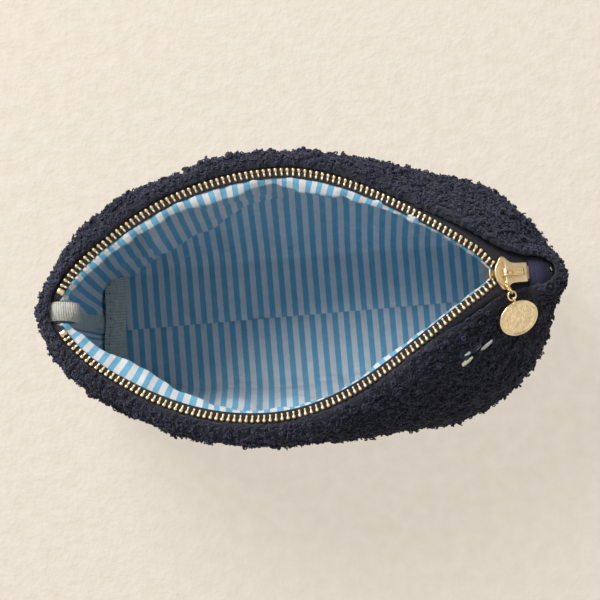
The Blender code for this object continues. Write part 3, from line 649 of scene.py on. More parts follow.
def make_curls(side, surface, normals, name, first, last):
    """Curly pile: loops of yarn that lie on the ground cloth, each tipped its own way."""
    a, b = surface[:-1, :-1], surface[1:, 1:]
    c, d = surface[:-1, 1:], surface[1:, :-1]
    area = np.linalg.norm(np.cross(b - a, d - c), axis=2) / 2
    seen = smoothstep(a[:, :, 2], 0.6 * MM, 3 * MM)  # none under the base
    crowded = 0.55 + 1.6 * smoothstep(a[:, :, 2], 60 * MM, 96 * MM)  # most where the photo looks
    weight = area * seen * crowded
    weight[:2] = 0.0  # nor on the hem's edge, beside the teeth
    half = np.zeros_like(area)
    half[:, int(first * area.shape[1]) : int(last * area.shape[1])] = 1.0
    weight = (weight * half).ravel()
    count = int(CURLS * (last - first))
    cells = rng.choice(weight.size, count, p=weight / weight.sum())
    i, j = np.unravel_index(cells, area.shape)
    s, t = rng.random((2, count, 1))
    at = a[i, j] * (1 - s) * (1 - t) + c[i, j] * s * (1 - t) + d[i, j] * (1 - s) * t + b[i, j] * s * t
    up = normals[i, j]
    side_way = unit(np.cross(up, rng.normal(size=(count, 3))))
    tip = rng.uniform(0.15, 1.25, (count, 1))
    axis = unit(up * np.cos(tip) + side_way * np.sin(tip))
    first_way = unit(np.cross(axis, rng.normal(size=(count, 3))))
    second_way = np.cross(axis, first_way)
    radius = rng.uniform(0.5, 1.15, (count, 1)) * MM
    drift = rng.uniform(0.2, 1.3, (count, 1)) * MM
    turns = rng.uniform(0.85, 1.5, (count, 1)) * 2 * math.pi
    start = rng.uniform(0, 2 * math.pi, (count, 1))
    steps = np.linspace(0.0, 1.0, CURL_POINTS)[None, :]
    angle = (start + turns * steps)[:, :, None]
    spoke = np.cos(angle) * first_way[:, None] + np.sin(angle) * second_way[:, None]
    grow = (1.0 - 0.35 * steps)[:, :, None]
    lift = rng.uniform(-0.2, 0.8, (count, 1)) * MM
    centre = at + up * lift
    path = centre[:, None] + spoke * radius[:, None] * grow
    path = path + axis[:, None] * drift[:, None] * (steps[:, :, None] - 0.5)
    yarn = CURL_YARN * rng.uniform(0.75, 1.25, (count, 1, 1))
    corners = []
    for k in range(3):
        phi = 2 * math.pi * k / 3
        corners.append(path + (spoke * math.cos(phi) + axis[:, None] * math.sin(phi)) * yarn)
    points = np.stack(corners, axis=2)
    points[..., 2] = np.maximum(points[..., 2], 0.1 * MM)
    points = points[points[..., 2].max(axis=(1, 2)) < room_under_pull(at) + 0.5 * MM]
    curl_mesh(name, points)


def curl_mesh(name, points):
    """One mesh of three-sided yarns, from their corners as (curl, point along it, corner, xyz)."""
    count = len(points)
    base = np.arange(count)[:, None, None] * CURL_POINTS * 3
    ring = np.arange(CURL_POINTS - 1)[None, :, None] * 3
    k = np.arange(3)[None, None, :]
    n = (k + 1) % 3
    quads = np.stack([base + ring + k, base + ring + n, base + ring + 3 + n, base + ring + 3 + k], -1)
    quads = quads.reshape(-1, 4)
    start_cap = base[:, :, 0] + np.array([2, 1, 0])
    end_cap = start_cap[:, ::-1] + (CURL_POINTS - 1) * 3
    mesh = bpy.data.meshes.new(name)
    mesh.vertices.add(count * CURL_POINTS * 3)
    mesh.vertices.foreach_set("co", points.astype(np.float32).ravel())
    loops = np.concatenate([quads.ravel(), start_cap.ravel(), end_cap.ravel()])
    mesh.loops.add(len(loops))
    mesh.loops.foreach_set("vertex_index", loops.astype(np.int32))
    sizes = np.concatenate([np.full(len(quads), 4), np.full(2 * count, 3)])
    starts = np.concatenate([[0], np.cumsum(sizes)[:-1]])
    mesh.polygons.add(len(sizes))
    mesh.polygons.foreach_set("loop_start", starts.astype(np.int32))
    mesh.update(calc_edges=True)
    mesh.validate()
    mesh.shade_smooth()
    finish(new_object(name, mesh), FLEECE_PILE, "pouch")


# Lining

LINING_COLUMNS = 240
LINING_THICKNESS = 0.3 * MM
LINING_OFFSET = 0.85 * MM  # from the layer's middle to the lining's face
ROLL_RADIUS = 1.1 * MM
ROLL_STEPS = 6
ROLL_BELOW = {FRONT: 1.7 * MM, BACK: 1.1 * MM}  # the row of teeth
ROLL_SLOPE = {FRONT: 0.30, BACK: 0.05}
WALL_FROM = 15.0 * MM  # below the rim, where the lining lies on the wall again
LINING_WALL_ROWS = 70
LINING_TAUT = 0.6  # how far it hangs straight, clear of the shell's belly
TUCK_ABOVE = 26  # rows of the wall above the tuck
TUCK_BELOW = 34
TUCK_OVER = [(-96, 2), (-75, 6), (-60, 8), (-29, 10.5), (4, 9.5), (36, 2)]  # how far it hangs over
# The rows that lead back under the tuck: share of the overhang, and how far each is lifted
TUCK_RETURN = [(0.8, -0.12), (0.3, 0.28), (0.02, 0.22)]
# The tuck in the back lining: its height by x, in the loft's frame
TUCK = [(-92, 9), (-83, 12), (-61, 40), (-42, 58), (-27, 75), (-20, 83), (6, 84), (40, 84)]
# Width of the lit roll beside the teeth, by x in the loft's frame
ROLL_WIDTH = {
    BACK: [(-107, 1.2), (-91, 2.6), (-64, 4.2), (-52, 3.8), (-44, 5.0), (-37, 5.6), (-27, 5.5), (-16, 3.6),
           (-7, 2.4), (0, 4.6), (9, 6.0), (17, 5.2), (30, 3.6), (42, 2.2), (53, 1.0), (66, 0.1)],
    FRONT: [(-107, 1.5), (-98, 4.0), (-84, 6.5), (-73, 7.2), (-58, 4.6), (-40, 2.4), (-27, 1.0), (-12, 1.9),
            (0, 1.2), (12, 0.4), (25, 0.9), (38, 2.0), (49, 1.5), (58, 0.3), (66, 0.1)],
}


def in_metres(points):
    return [(x * MM, y * MM) for x, y in points]


def past_open_end(seam):
    """Under 1 at the open end of the zip, where tape and lining fold away, and 1 from its first teeth on."""
    return 0.3 + 0.7 * smoothstep(length_along(seam), 4 * MM, 9 * MM)


def tuck_fade(x):
    """1 where the back lining hangs over in a tuck, 0 where it hangs plain."""
    return smoothstep(x, -100 * MM, -92 * MM) * (1 - smoothstep(x, 0 * MM, 36 * MM))


def divided_at_tuck(side, inner, normal, first, last):
    """The wall's rows, divided anew so that one row lies on the tuck, and the tuck made in them."""
    steps = np.arange(len(inner), dtype=float)
    wall = np.empty((TUCK_ABOVE + len(TUCK_RETURN) + TUCK_BELOW, inner.shape[1], 3))
    for j in range(inner.shape[1]):
        x = inner[first, j, 0] + MIDDLE[0]
        for _ in range(3):
            height = through(np.array([x]), in_metres(TUCK))[0]
            fold = np.interp(-height, -inner[:last, j, 2], steps[:last])
            x = np.interp(fold, steps, inner[:, j, 0]) + MIDDLE[0]
        fold = np.clip(fold, first + 4.0, last - 3.0)
        samples = np.concatenate([
            np.linspace(first, fold, TUCK_ABOVE),
            fold + np.array((0.2, 0.4, 0.6)),
            np.linspace(fold + 1, last - 1, TUCK_BELOW),
        ])
        spot = np.column_stack([np.interp(samples, steps, inner[:, j, k]) for k in range(3)])
        out = np.column_stack([np.interp(samples, steps, normal[:, j, k]) for k in range(3)])
        if side == BACK:
            over = through(np.array([x]), in_metres(TUCK_OVER))[0] * tuck_fade(x)
            above = spot[:TUCK_ABOVE, 2] - spot[TUCK_ABOVE - 1, 2]
            share = 1 - smoothstep(above, 25 * MM, 60 * MM)
            spot[:TUCK_ABOVE] -= out[:TUCK_ABOVE] * (over * share)[:, None]
            for row, (reach, lift) in enumerate(TUCK_RETURN, TUCK_ABOVE):
                spot[row] -= out[row] * over * reach
                spot[row, 2] += over * lift
        wall[:, j] = spot
    return wall


def lining_rows(side):
    """The lining's rows, rim first: its roll beside the teeth, its wall and its floor. Also the numbers of
    the wall's first row, of the tuck's and of the floor's first."""
    rows, normal = layer(side, LINING_COLUMNS, LINING_WALL_ROWS, 6, 14, LINING_TAUT)
    line, seam = row_line(side, LINING_COLUMNS)
    x = seam[:, 0] + MIDDLE[0]
    inward = (line - seam) * (1.0, 1.0, 0.0)
    inward_reach = np.linalg.norm(inward, axis=1)
    inward = unit(inward)
    opened = past_open_end(seam)
    offset = inward_reach * opened
    rise = (line[:, 2] - seam[:, 2]) * opened
    width = through(x, in_metres(ROLL_WIDTH[side]))
    start, level = offset + 1.4 * MM, rise - ROLL_BELOW[side]
    end, low = start + width, level - ROLL_SLOPE[side] * width - 0.2 * MM
    profile = [(0.18 * offset, -0.4 * MM + 0 * x), (0.6 * offset, rise - 1.9 * MM), (start, level)]
    for share in (0.3, 0.6, 0.85):
        crown = 0.5 * MM * math.sin(math.pi * share)
        profile.append((start + (end - start) * share, level + crown + (low - level) * share**1.5))
    for angle in np.linspace(0.0, math.pi, ROLL_STEPS):
        profile.append((end + ROLL_RADIUS * math.sin(angle), low - ROLL_RADIUS * (1 - math.cos(angle))))
    top = [seam + inward * t[:, None] + np.array((0, 0, 1.0)) * z[:, None] for t, z in profile]
    inner = rows - normal * LINING_OFFSET
    first = int(np.argmax(rows[:, 0, 2] < rows[0, 0, 2] - WALL_FROM))
    wall = divided_at_tuck(side, inner, normal, first, LINING_WALL_ROWS)
    hanging = []
    for share in (0.2, 0.45, 0.7, 0.88):
        bowed = share + 0.12 * math.sin(math.pi * share)
        hanging.append(top[-1] + (wall[0] - top[-1]) * np.array((bowed, bowed, share)))
    full = np.concatenate([np.array(top), np.array(hanging), wall, inner[LINING_WALL_ROWS:]])
    wall_from = len(top) + len(hanging)
    return full, wall_from, wall_from + TUCK_ABOVE, wall_from + len(wall)


def make_lining(side):
    rows, wall_from, tuck_row, floor_from = lining_rows(side)
    normal = sheet_normals(rows, (0.0, side, 0.0))
    normal[:, (0, -1), 1] = 0.0
    normal = unit(normal)
    along = np.linspace(0, CLOTH_LENGTH, rows.shape[1])[None, :]
    u = along * np.ones((len(rows), 1))
    v = length_down(rows)
    depth = rows[0, :, 2][None, :] - rows[:, :, 2]
    free = smoothstep(depth, 4 * MM, 30 * MM) * (1 - 0.8 * smoothstep(depth, 88 * MM, 99 * MM))
    ends = smoothstep(u, 4 * MM, 22 * MM) * smoothstep(CLOTH_LENGTH - u, 4 * MM, 22 * MM)
    slack = 1.5 * MM * waves(u, v * 0.45, 9, 46 * MM, 18 * MM, 5 + side)
    creases = waves(u, v * 0.7, 6, 26 * MM, 11 * MM, 17 + side)
    push = (slack + 0.7 * MM * np.tanh(2.2 * creases)) * free * ends
    if side == BACK:
        near_tuck = np.exp(-(((np.arange(len(rows)) - tuck_row - 1) / 2.5) ** 2))[:, None]
        push = push * (1 - near_tuck * tuck_fade(rows[:, :, 0] + MIDDLE[0]))
    push = np.clip(push, -3.6 * MM, 0.35 * MM)
    rim = np.zeros_like(depth)
    rim[3:wall_from] = 1.0
    puckers = waves(u, v, 8, 15 * MM, 6 * MM, 41 + side) * 0.35 * MM
    face = rows + normal * (push + puckers * rim)[:, :, None]
    seam_dip = np.zeros_like(depth)
    seam_dip[-1], seam_dip[-2] = 0.5 * MM, 0.1 * MM
    face[:, :, 2] -= seam_dip
    shift = np.where(rim > 0, 0.10 * waves(u, v, 5, 40 * MM, 16 * MM, 51 + side), 0.0)
    stripes = stripes_over(side, rows, along, depth, tuck_row, floor_from)
    uv = np.stack([stripes / STRIPE_PERIOD + shift + STRIPE_SHIFT[side], v], axis=-1)
    name = "striped_lining_" + WORD[side]
    obj = cloth(name, face, face + normal * LINING_THICKNESS, LINING, "lining", uv)
    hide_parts("lining_" + WORD[side])


def stripes_over(side, rows, along, depth, tuck_row, floor_from):
    """How far along the cloth each point lies. The stripes leave the zip square to it, run straight down
    the long walls and across the floor, and end at the floor's ends, where the boxed corners are sewn."""
    base = box_section(side, BASE_SHIFT, BASE_HALF_LENGTH, BASE_HALF_DEPTH, 6.0)
    base_length = np.linalg.norm(np.diff(base, axis=0), axis=1).sum()
    x = rows[:, :, 0] + MIDDLE[0]
    straight = CLOTH_LENGTH * (0.5 + (x - BASE_SHIFT) / base_length)
    rim_line = rows[2, :, :2]
    tangent = unit(np.gradient(rim_line, axis=0))
    square = along + np.sum((rows[:, :, :2] - rim_line) * tangent, axis=2)
    corner = BASE_HALF_DEPTH + 2 * MM
    long_side = smoothstep(along, corner - MM, corner + MM)
    long_side = long_side * smoothstep(CLOTH_LENGTH - along, corner - MM, corner + MM)
    lower = smoothstep(depth, 14 * MM, 50 * MM)
    if side == BACK:
        fade = tuck_fade(x)
        below = (np.arange(len(rows)) > tuck_row + 1)[:, None]
        lower = lower * (1 - fade) + below * fade
    weight = long_side * lower
    weight[floor_from + 6 :] = 1.0
    return square + (straight - square) * weight


# Zip

TAPE_THICKNESS = 0.36 * MM
TAPE_COLUMNS = 170
STOP_AT = 10.0 * MM
STOP_LENGTH = 2.4 * MM
# Rings of one tooth: distance out from the row, half width along the row, half height
TOOTH = [(-1.75, 0.20, 0.30), (-1.60, 0.42, 0.62), (-1.20, 0.50, 0.80), (-0.70, 0.41, 0.72),
         (-0.30, 0.38, 0.62), (0.05, 0.56, 0.92), (0.45, 0.73, 1.20), (1.10, 0.76, 1.24),
         (1.45, 0.66, 1.12), (1.62, 0.36, 0.70)]
STOP = [(-1.75, 0.5, 0.5), (-1.55, 1.2, 1.0), (-0.9, 1.45, 1.3), (-0.1, 1.2, 1.05), (0.7, 1.5, 1.35),
        (1.45, 1.3, 1.1), (1.7, 0.5, 0.5)]
TOOTH_SIDES = 10
TOOTH_LEAN = 0.10  # radians, towards the open end


def make_tape(side):
    row, seam = row_line(side, TAPE_COLUMNS)
    opened = past_open_end(seam)[:, None]
    row = seam + (row - seam) * opened
    shoulder = row + (seam - row) * 0.55
    shoulder[:, 2] = row[:, 2] + (seam[:, 2] - row[:, 2]) * 0.15
    across = unit(shoulder - row)
    x = row[:, 0] + MIDDLE[0]
    band = 1.7 * MM + 0.9 * MM * smoothstep(x, -85 * MM, -60 * MM) * (1 - smoothstep(x, 40 * MM, 70 * MM))
    band = np.where(x > CLOSING_FROM, ROW_CLOSED_HALF - 0.1 * MM, band) * opened[:, 0]
    inner = row - across * band[:, None]
    inner[:, 2] -= 1.1 * MM * (1 - smoothstep(x, 60 * MM, CLOSING_FROM))
    middle = (row + shoulder) / 2
    knee = (shoulder + seam) / 2 + np.array((0, 0, 0.5 * MM))
    rows = np.array([inner, row, middle, shoulder, knee, seam])
    normal = sheet_normals(rows, (0.0, 0.0, 1.0)) * TAPE_THICKNESS / 2
    u = length_along(row)
    v = length_down(rows)
    uv = np.stack([np.broadcast_to(u, v.shape), v], axis=-1)
    obj = cloth("woven_tape_" + WORD[side], rows + normal, rows - normal, TAPE, "tape", uv)
    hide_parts("zip_tape_" + WORD[side])


def place_on(row, seam, along, distance):
    """Matrix on the row: X along it, Y out of the mouth, Z up from the tape."""
    spot, ahead = (
        np.array([np.interp(d, along, row[:, k]) for k in range(3)]) for d in (distance, distance + MM)
    )
    base = np.array([np.interp(distance, along, seam[:, k]) for k in range(3)])
    base[2] = spot[2]
    x_axis = Vector(ahead - spot).normalized()
    out = Vector(base - spot)
    y_axis = (out - out.dot(x_axis) * x_axis).normalized()
    z_axis = x_axis.cross(y_axis)
    if z_axis.z < 0:
        x_axis, z_axis = -x_axis, -z_axis
    turn = Matrix((x_axis, y_axis, z_axis)).transposed().to_4x4()
    return Matrix.Translation(Vector(spot)) @ turn


def crimped(rings, matrix):
    """A rounded solid from (y, half width, half height) rings, in millimetres."""
    angles = np.arange(TOOTH_SIDES) * 2 * math.pi / TOOTH_SIDES
    loops = [
        [(half * boxed(math.cos(a), 0.6) * MM, y * MM, high * boxed(math.sin(a), 0.6) * MM) for a in angles]
        for y, half, high in rings
    ]
    return lofted(loops, matrix)


def make_teeth(side):
    """One row of teeth, from the stop at the open end to the slider's far edge, and that stop."""
    row, seam = row_line(side)
    run, along = length_along(row), length_along(seam)
    past_stop = along > STOP_AT + STOP_LENGTH + 0.3 * MM
    toothed = np.flatnonzero(past_stop & (row[:, 0] + MIDDLE[0] < SLIDER_X + SLIDER_LENGTH / 2))
    begin, end = run[toothed[0]], run[toothed[-1]]
    lean = TOOTH_LEAN * side
    solids = []
    for number in range(int((end - begin) / TOOTH_PITCH)):
        distance = begin + (number + 0.5) * TOOTH_PITCH
        jitter = Matrix.Rotation(lean + rng.normal(0, 0.03), 4, "Z")
        matrix = place_on(row, seam, run, distance) @ jitter
        solids.append(crimped(TOOTH, matrix))
    obj = joined_mesh("metal_teeth_" + WORD[side], solids, GOLD_TEETH, "pouch")
    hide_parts("teeth_" + WORD[side])
    stop_run = np.interp(STOP_AT + STOP_LENGTH / 2, along, run)
    solids = [crimped(STOP, place_on(row, seam, run, stop_run))]
    piece = joined_mesh("metal_stop_" + WORD[side], solids, GOLD_TEETH, "pouch")
    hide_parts("top_stop_" + WORD[side])


# Slider and pull, in the slider's own frame: X towards the closed teeth, Z away from them

SLIDER_WIDTH = 14.2 * MM
SLIDER_TAIL = 8.6 * MM
PLATE = 1.1 * MM
CHANNEL = 3.5 * MM
PLATE_TOP = CHANNEL / 2 + PLATE
TOP_MOUTH = 6.7 * MM  # how far each plate reaches towards the open teeth
BOTTOM_MOUTH = 7.7 * MM
FLANGE_FROM = 2.4 * MM
FLANGE_HALF = 0.26 * MM
CLEARANCE = 0.3 * MM
CAP_FROM = -4.6 * MM
CAP_TO = 5.3 * MM
CAP_HEIGHT = 3.5 * MM
BAIL_X = -2.7 * MM
BAIL_HALF = 4.9 * MM
BAIL_LENGTH = 4.8 * MM
BAIL_CORNER = 1.2 * MM
BAIL_WIRE = 0.5 * MM
LINK_TURN, LINK_SLOPE = math.radians(29), math.radians(5)
LINK_REACH = 3.9 * MM
LINK_EYE = 0.9 * MM
LINK_WALL = 0.45 * MM
RING_RADIUS = 1.9 * MM
RING_WIRE = 0.4 * MM
RING_TURN, RING_SLOPE = math.radians(20), math.radians(16)
CHARM_HALF_LENGTH = 9.0 * MM
CHARM_HALF_HEIGHT = 8.2 * MM
CHARM_SLOPE = math.radians(18)
CHARM_EYE = 0.75 * MM
CHARM_SIDES = 72
# From the middle of the back over the rim to the middle of the face: inset, height (millimetres)
CHARM_PROFILE = [(2.4, -0.60), (0.8, -0.68), (0.3, -0.60), (0.05, -0.35), (0.0, 0.0), (0.05, 0.42),
                 (0.22, 0.64), (0.50, 0.70), (0.78, 0.60), (0.95, 0.38), (1.25, 0.30), (2.4, 0.33),
                 (4.0, 0.38), (5.6, 0.42), (6.9, 0.43)]


def euler(x, y, z):
    return Matrix.Rotation(z, 4, "Z") @ Matrix.Rotation(y, 4, "Y") @ Matrix.Rotation(x, 4, "X")


def rim_pitch():
    step = 2 * MM
    return math.atan2(rim_height(SLIDER_X - step) - rim_height(SLIDER_X + step), 2 * step)


AT_SLIDER = Matrix.Translation(
    Vector((SLIDER_X, 0, float(rim_height(SLIDER_X)) + ROW_RISE_CLOSED)) - Vector(MIDDLE)
) @ Matrix.Rotation(rim_pitch(), 4, "Y")
BAIL_HEIGHT = PLATE_TOP + 2 * CLEARANCE + LINK_EYE + LINK_WALL
AT_BAIL = AT_SLIDER @ Matrix.Translation((BAIL_X, 0, BAIL_HEIGHT))
LINK_EYE_AT = (
    -BAIL_CORNER + BAIL_CORNER * math.sin(LINK_TURN),
    -BAIL_HALF + BAIL_CORNER - BAIL_CORNER * math.cos(LINK_TURN),
    0,
)
AT_LINK = AT_BAIL @ Matrix.Translation(LINK_EYE_AT) @ euler(LINK_SLOPE, 0, LINK_TURN)
AT_RING = AT_LINK @ Matrix.Translation((0, -LINK_REACH, 0))
AT_RING = AT_RING @ euler(RING_SLOPE - LINK_SLOPE, 0, RING_TURN - LINK_TURN)
AT_CHARM = AT_RING @ Matrix.Translation((0, -2 * RING_RADIUS, 0))
AT_CHARM = AT_CHARM @ euler(CHARM_SLOPE - RING_SLOPE, 0, 0)


def rounded_line(points, passes=2):
    """Corner cutting on a closed outline."""
    points = np.array(points, float)
    for _ in range(passes):
        after = np.roll(points, -1, axis=0)
        pairs = np.stack([points * 0.75 + after * 0.25, points * 0.25 + after * 0.75], axis=1)
        points = pairs.reshape(-1, 2)
    return points


def rectangle(left, right, low, high):
    return [(left, low), (right, low), (right, high), (left, high)]


def slab(outline, low, high, edge, matrix):
    """A plate with rounded edges between two heights, from a closed outline in metres."""
    after = np.roll(outline, -1, axis=0)
    run = unit(after - np.roll(outline, 1, axis=0))
    area = np.sum(outline[:, 0] * after[:, 1] - after[:, 0] * outline[:, 1])
    inwards = np.column_stack([-run[:, 1], run[:, 0]]) * np.sign(area)
    rings = []
    for level, way, first, last in ((low, 1, 0, math.pi / 2), (high, -1, math.pi / 2, 0)):
        for angle in np.linspace(first, last, 5):
            inset, lift = edge * (1 - math.sin(angle)), edge * (1 - math.cos(angle))
            height = np.full(len(outline), level + way * lift)
            rings.append(np.column_stack([outline + inwards * inset, height]))
    if area < 0:
        rings = [ring[::-1] for ring in rings]
    return lofted(rings, matrix)


def loop_tube(points, radius, matrix, sides=12):
    """A wire bent into a closed loop in its own XY plane."""
    points = np.array(points, float)
    run = unit(np.roll(points, -1, axis=0) - np.roll(points, 1, axis=0))
    side_way = np.cross(run, (0.0, 0.0, 1.0))
    angles = np.arange(sides) * 2 * math.pi / sides
    vertices = []
    z_way = np.array((0, 0, 1.0))
    for p, s in zip(points, side_way):
        vertices += [p + radius * (math.cos(a) * s + math.sin(a) * z_way) for a in angles]
    faces = []
    for i in range(len(points)):
        here, there = i * sides, (i + 1) % len(points) * sides
        for k in range(sides):
            n = (k + 1) % sides
            faces.append((here + k, there + k, there + n, here + n))
    return turned(matrix, vertices), faces


def slider_outline(mouth):
    """One plate, with its mouth edge at -mouth."""
    half, tail, end = SLIDER_WIDTH / 2, SLIDER_TAIL / 2, SLIDER_LENGTH / 2
    side = [(end, tail * 0.5), (end, tail - 0.5 * MM), (end - 0.4 * MM, tail), (1.2 * MM, tail - 0.1 * MM)]
    side += [(-0.7 * MM, tail + 1.0 * MM), (-2.2 * MM, half - 0.1 * MM), (-3.9 * MM, half + 0.1 * MM)]
    side += [(-mouth * 0.78, half - 2.0 * MM), (-mouth, half - 5.0 * MM)]
    return rounded_line(side + [(x, -y) for x, y in reversed(side)])


def make_slider():
    """The two plates, the wedge and flanges between them, and a dark gold patch on the top plate: painted
    shade where the locking pin's opening would be.
    """
    half = CHANNEL / 2
    solids = [slab(slider_outline(TOP_MOUTH), half, PLATE_TOP, 0.45 * MM, AT_SLIDER)]
    solids.append(slab(slider_outline(BOTTOM_MOUTH), -PLATE_TOP, -half, 0.4 * MM, AT_SLIDER))
    wedge = rounded_line(np.array([(-6.6, 0.2), (-4.2, 0.75), (-4.2, -0.75), (-6.6, -0.2)]) * MM)
    solids.append(slab(wedge, -half - 0.3 * MM, half + 0.3 * MM, 0.1 * MM, AT_SLIDER))
    end = SLIDER_LENGTH / 2 - 0.2 * MM
    for side in (FRONT, BACK):
        y = side * (SLIDER_TAIL / 2 - 0.3 * MM)
        lip = rounded_line(rectangle(FLANGE_FROM, end, y - FLANGE_HALF, y + FLANGE_HALF), 1)
        for low, high in ((half - 0.9 * MM, half + 0.4 * MM), (-half - 0.4 * MM, -half + 0.9 * MM)):
            solids.append(slab(lip, low, high, 0.12 * MM, AT_SLIDER))
    # A dark patch on the top plate, not a hole: painted shade where the locking pin's opening would be.
    opening = rounded_line(np.array(rectangle(-3.4, -0.1, -0.7, 0.7)) * MM)
    painted_shade_patch = slab(opening, PLATE_TOP - 0.2 * MM, PLATE_TOP + 0.04 * MM, 0.03 * MM, AT_SLIDER)
    joined_mesh("pin_opening_painted_shade", [painted_shade_patch], GOLD_PAINTED_SHADE, "slider")
    body = joined_mesh("cast_slider", solids, GOLD, "slider")
    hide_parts("slider_body")
    make_cap()


def strap(points, half_width, thick, matrix, squareness):
    """A strap bent in the XZ plane: points along its middle, with rounded edges."""
    points = np.array(points, float)
    run = unit(np.gradient(points, axis=0))
    up = np.column_stack([-run[:, 2], np.zeros(len(run)), run[:, 0]])
    angles = np.arange(12) * 2 * math.pi / 12
    wide = [np.array((0, half_width * boxed(math.cos(a), squareness), 0)) for a in angles]
    high = [thick / 2 * boxed(math.sin(a), squareness) for a in angles]
    rings = [[p + w + u * h for w, h in zip(wide, high)] for p, u in zip(points, up)]
    return lofted(rings, matrix)


def make_cap():
    """The bridge: two rails and the ends of an arch, open in the middle over the locking pin."""
    foot, roof = PLATE_TOP - 0.1 * MM, PLATE_TOP + CLEARANCE + CAP_HEIGHT - 0.55 * MM
    radius = 1.3 * MM
    left, right = CAP_FROM + 0.45 * MM, CAP_TO - 0.45 * MM
    arch = [(left, 0, foot), (left, 0, roof - radius)]
    turn = []
    for a in np.linspace(0.2, math.pi / 2, 6):
        inset, height = radius * (1 - math.cos(a)), roof - radius * (1 - math.sin(a))
        arch.append((left + inset, 0, height))
        turn.insert(0, (right - inset, 0, height))
    drop = [(right, 0, roof - radius), (right, 0, foot)]
    rail = arch + turn + drop
    solids = []
    for side in (FRONT, BACK):
        beside = AT_SLIDER @ Matrix.Translation((0, side * 1.2 * MM, 0))
        solids.append(strap(rail, 0.32 * MM, 0.9 * MM, beside, 0.5))
    solids.append(strap(arch[:-1], 1.2 * MM, 0.8 * MM, AT_SLIDER, 0.5))
    covered = [(x, 0, roof - 0.12 * MM) for x in np.linspace(0.2 * MM, right - 1.2 * MM, 6)]
    covered += turn[1:] + drop
    solids.append(strap(covered, 1.2 * MM, 0.8 * MM, AT_SLIDER, 0.5))
    bead = [(x, 0, roof + 0.30 * MM) for x in np.linspace(0.4 * MM, right - 1.3 * MM, 6)]
    solids.append(strap(bead, 0.5 * MM, 0.5 * MM, AT_SLIDER, 0.8))
    cap = joined_mesh("slider_bridge", solids, GOLD, "slider")
    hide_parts("slider_cap")
    leaf = []
    for x in np.linspace(-1.5, 4.0, 10):
        leaf.append((x * MM, 0, PLATE_TOP + (1.3 + 0.5 * math.sin(0.32 * (x + 1.5))) * MM))
    pin = strap(leaf, 0.8 * MM, 0.3 * MM, AT_SLIDER, 0.6)
    spring = joined_mesh("locking_leaf", [pin], GOLD, "slider")
    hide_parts("lock_spring")


def bail_points():
    """A D: its straight side is the hinge, and its corners and bow are arcs."""
    half, corner = BAIL_HALF, BAIL_CORNER
    quarter = math.pi / 2
    points = [(0.0, y, 0.0) for y in np.linspace(-half + corner, half - corner, 8)]
    points += arc(-corner, half - corner, corner, corner, np.linspace(0, quarter, 6)[1:])
    points += arc(-corner, 0, BAIL_LENGTH - corner, half, np.linspace(quarter, 3 * quarter, 26)[1:-1])
    points += arc(-corner, -half + corner, corner, corner, np.linspace(3 * quarter, 4 * quarter, 6)[:-1])
    return points


def make_pull():
    bail = joined_mesh("pull_loop", [loop_tube(bail_points(), BAIL_WIRE, AT_BAIL)], GOLD, "bail")
    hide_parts("pull_bail")
    upright = Matrix.Rotation(math.radians(90), 4, "Y")
    eye_radius = LINK_EYE + LINK_WALL / 2
    solids = []
    for y in (0, -LINK_REACH):
        solids.append(loop_tube(circle((0, y), eye_radius, 24), LINK_WALL * 0.62, AT_LINK @ upright))
    stations = np.linspace(-0.75, -3.15, 25) * MM
    swell = 0.78 + 0.22 * np.cos((stations / MM + 0.95) * 2 * math.pi / 0.75)
    rings = tube([(0, y, 0) for y in stations], swell * 1.18 * MM, (0, 0, 1.0), 16)
    solids.append(lofted([ring * (1.0, 1.0, 0.8) for ring in rings], AT_LINK))
    link = joined_mesh("ridged_link", solids, GOLD, "link")
    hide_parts("pull_link")
    hoop = [loop_tube(circle((0, -RING_RADIUS), RING_RADIUS, 40), RING_WIRE, AT_RING)]
    ring = joined_mesh("jump_ring", hoop, GOLD, "ring")
    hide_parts("charm_ring")


def make_charm():
    """A blank oval disc with a raised rim and an eye."""
    half_length, half_height = CHARM_HALF_LENGTH + 0.3 * MM, CHARM_HALF_HEIGHT - 0.9 * MM
    reach = half_height + CHARM_EYE + 0.15 * MM
    angles = np.arange(CHARM_SIDES) * 2 * math.pi / CHARM_SIDES
    rings = []
    for inset, height in CHARM_PROFILE:
        a, b = half_length - inset * MM, half_height - inset * MM
        rings.append([(a * math.cos(t), -reach + b * math.sin(t), height * MM) for t in angles])
    solids = [lofted(rings, AT_CHARM)]
    upright = AT_CHARM @ Matrix.Rotation(math.radians(90), 4, "Y")
    solids.append(loop_tube(circle((0, 0), CHARM_EYE + 0.28 * MM, 24), 0.42 * MM, upright))
    charm = joined_mesh("blank_charm", solids, GOLD_CHARM, "charm")
    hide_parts("pull_charm")


# Tab and bindings

TAB_START = SLIDER_X + SLIDER_LENGTH / 2 + 1.2 * MM
TAB_LENGTH = 9.0 * MM
TAB_HALF = 6.2 * MM
BINDING_THICKNESS = 0.7 * MM
NAVY_RIBBON = (NAVY, "grosgrain_navy")
CREAM_RIBBON = (CREAM, "grosgrain_cream")
BINDING_POINTS = 90
CORNER_POINTS = 60
CORNER_HALF_LENGTH = 30.0 * MM
CORNER_OUTWARDS = 5.0 * MM  # of the CAD's binding, as the seam lies in the photo


def ribbon(name, middle, across, half_width, up, look, columns, curl):
    """A ribbon along the middle line. across and up are given at each of its points, and look is its
    material and a slot name, which is not used."""
    middle, across, up = (np.array(a, float) for a in (middle, across, up))
    half_width = np.broadcast_to(half_width, len(middle))
    share = np.linspace(-1, 1, columns)
    rows = middle[:, None] + across[:, None] * (half_width[:, None] * share)[:, :, None]
    rows += up[:, None] * (-curl * share**2)[None, :, None]
    rows += up[:, None] * 0.10 * MM * np.sin(np.arange(len(middle)) * 2.1)[:, None, None]
    normal = sheet_normals(rows, up[len(up) // 2]) * BINDING_THICKNESS / 2
    v = length_along(middle)
    uv = np.stack(np.broadcast_arrays((half_width[:, None] * share), v[:, None]), axis=-1)
    return cloth(name, rows + normal, rows - normal, *look, uv), rows


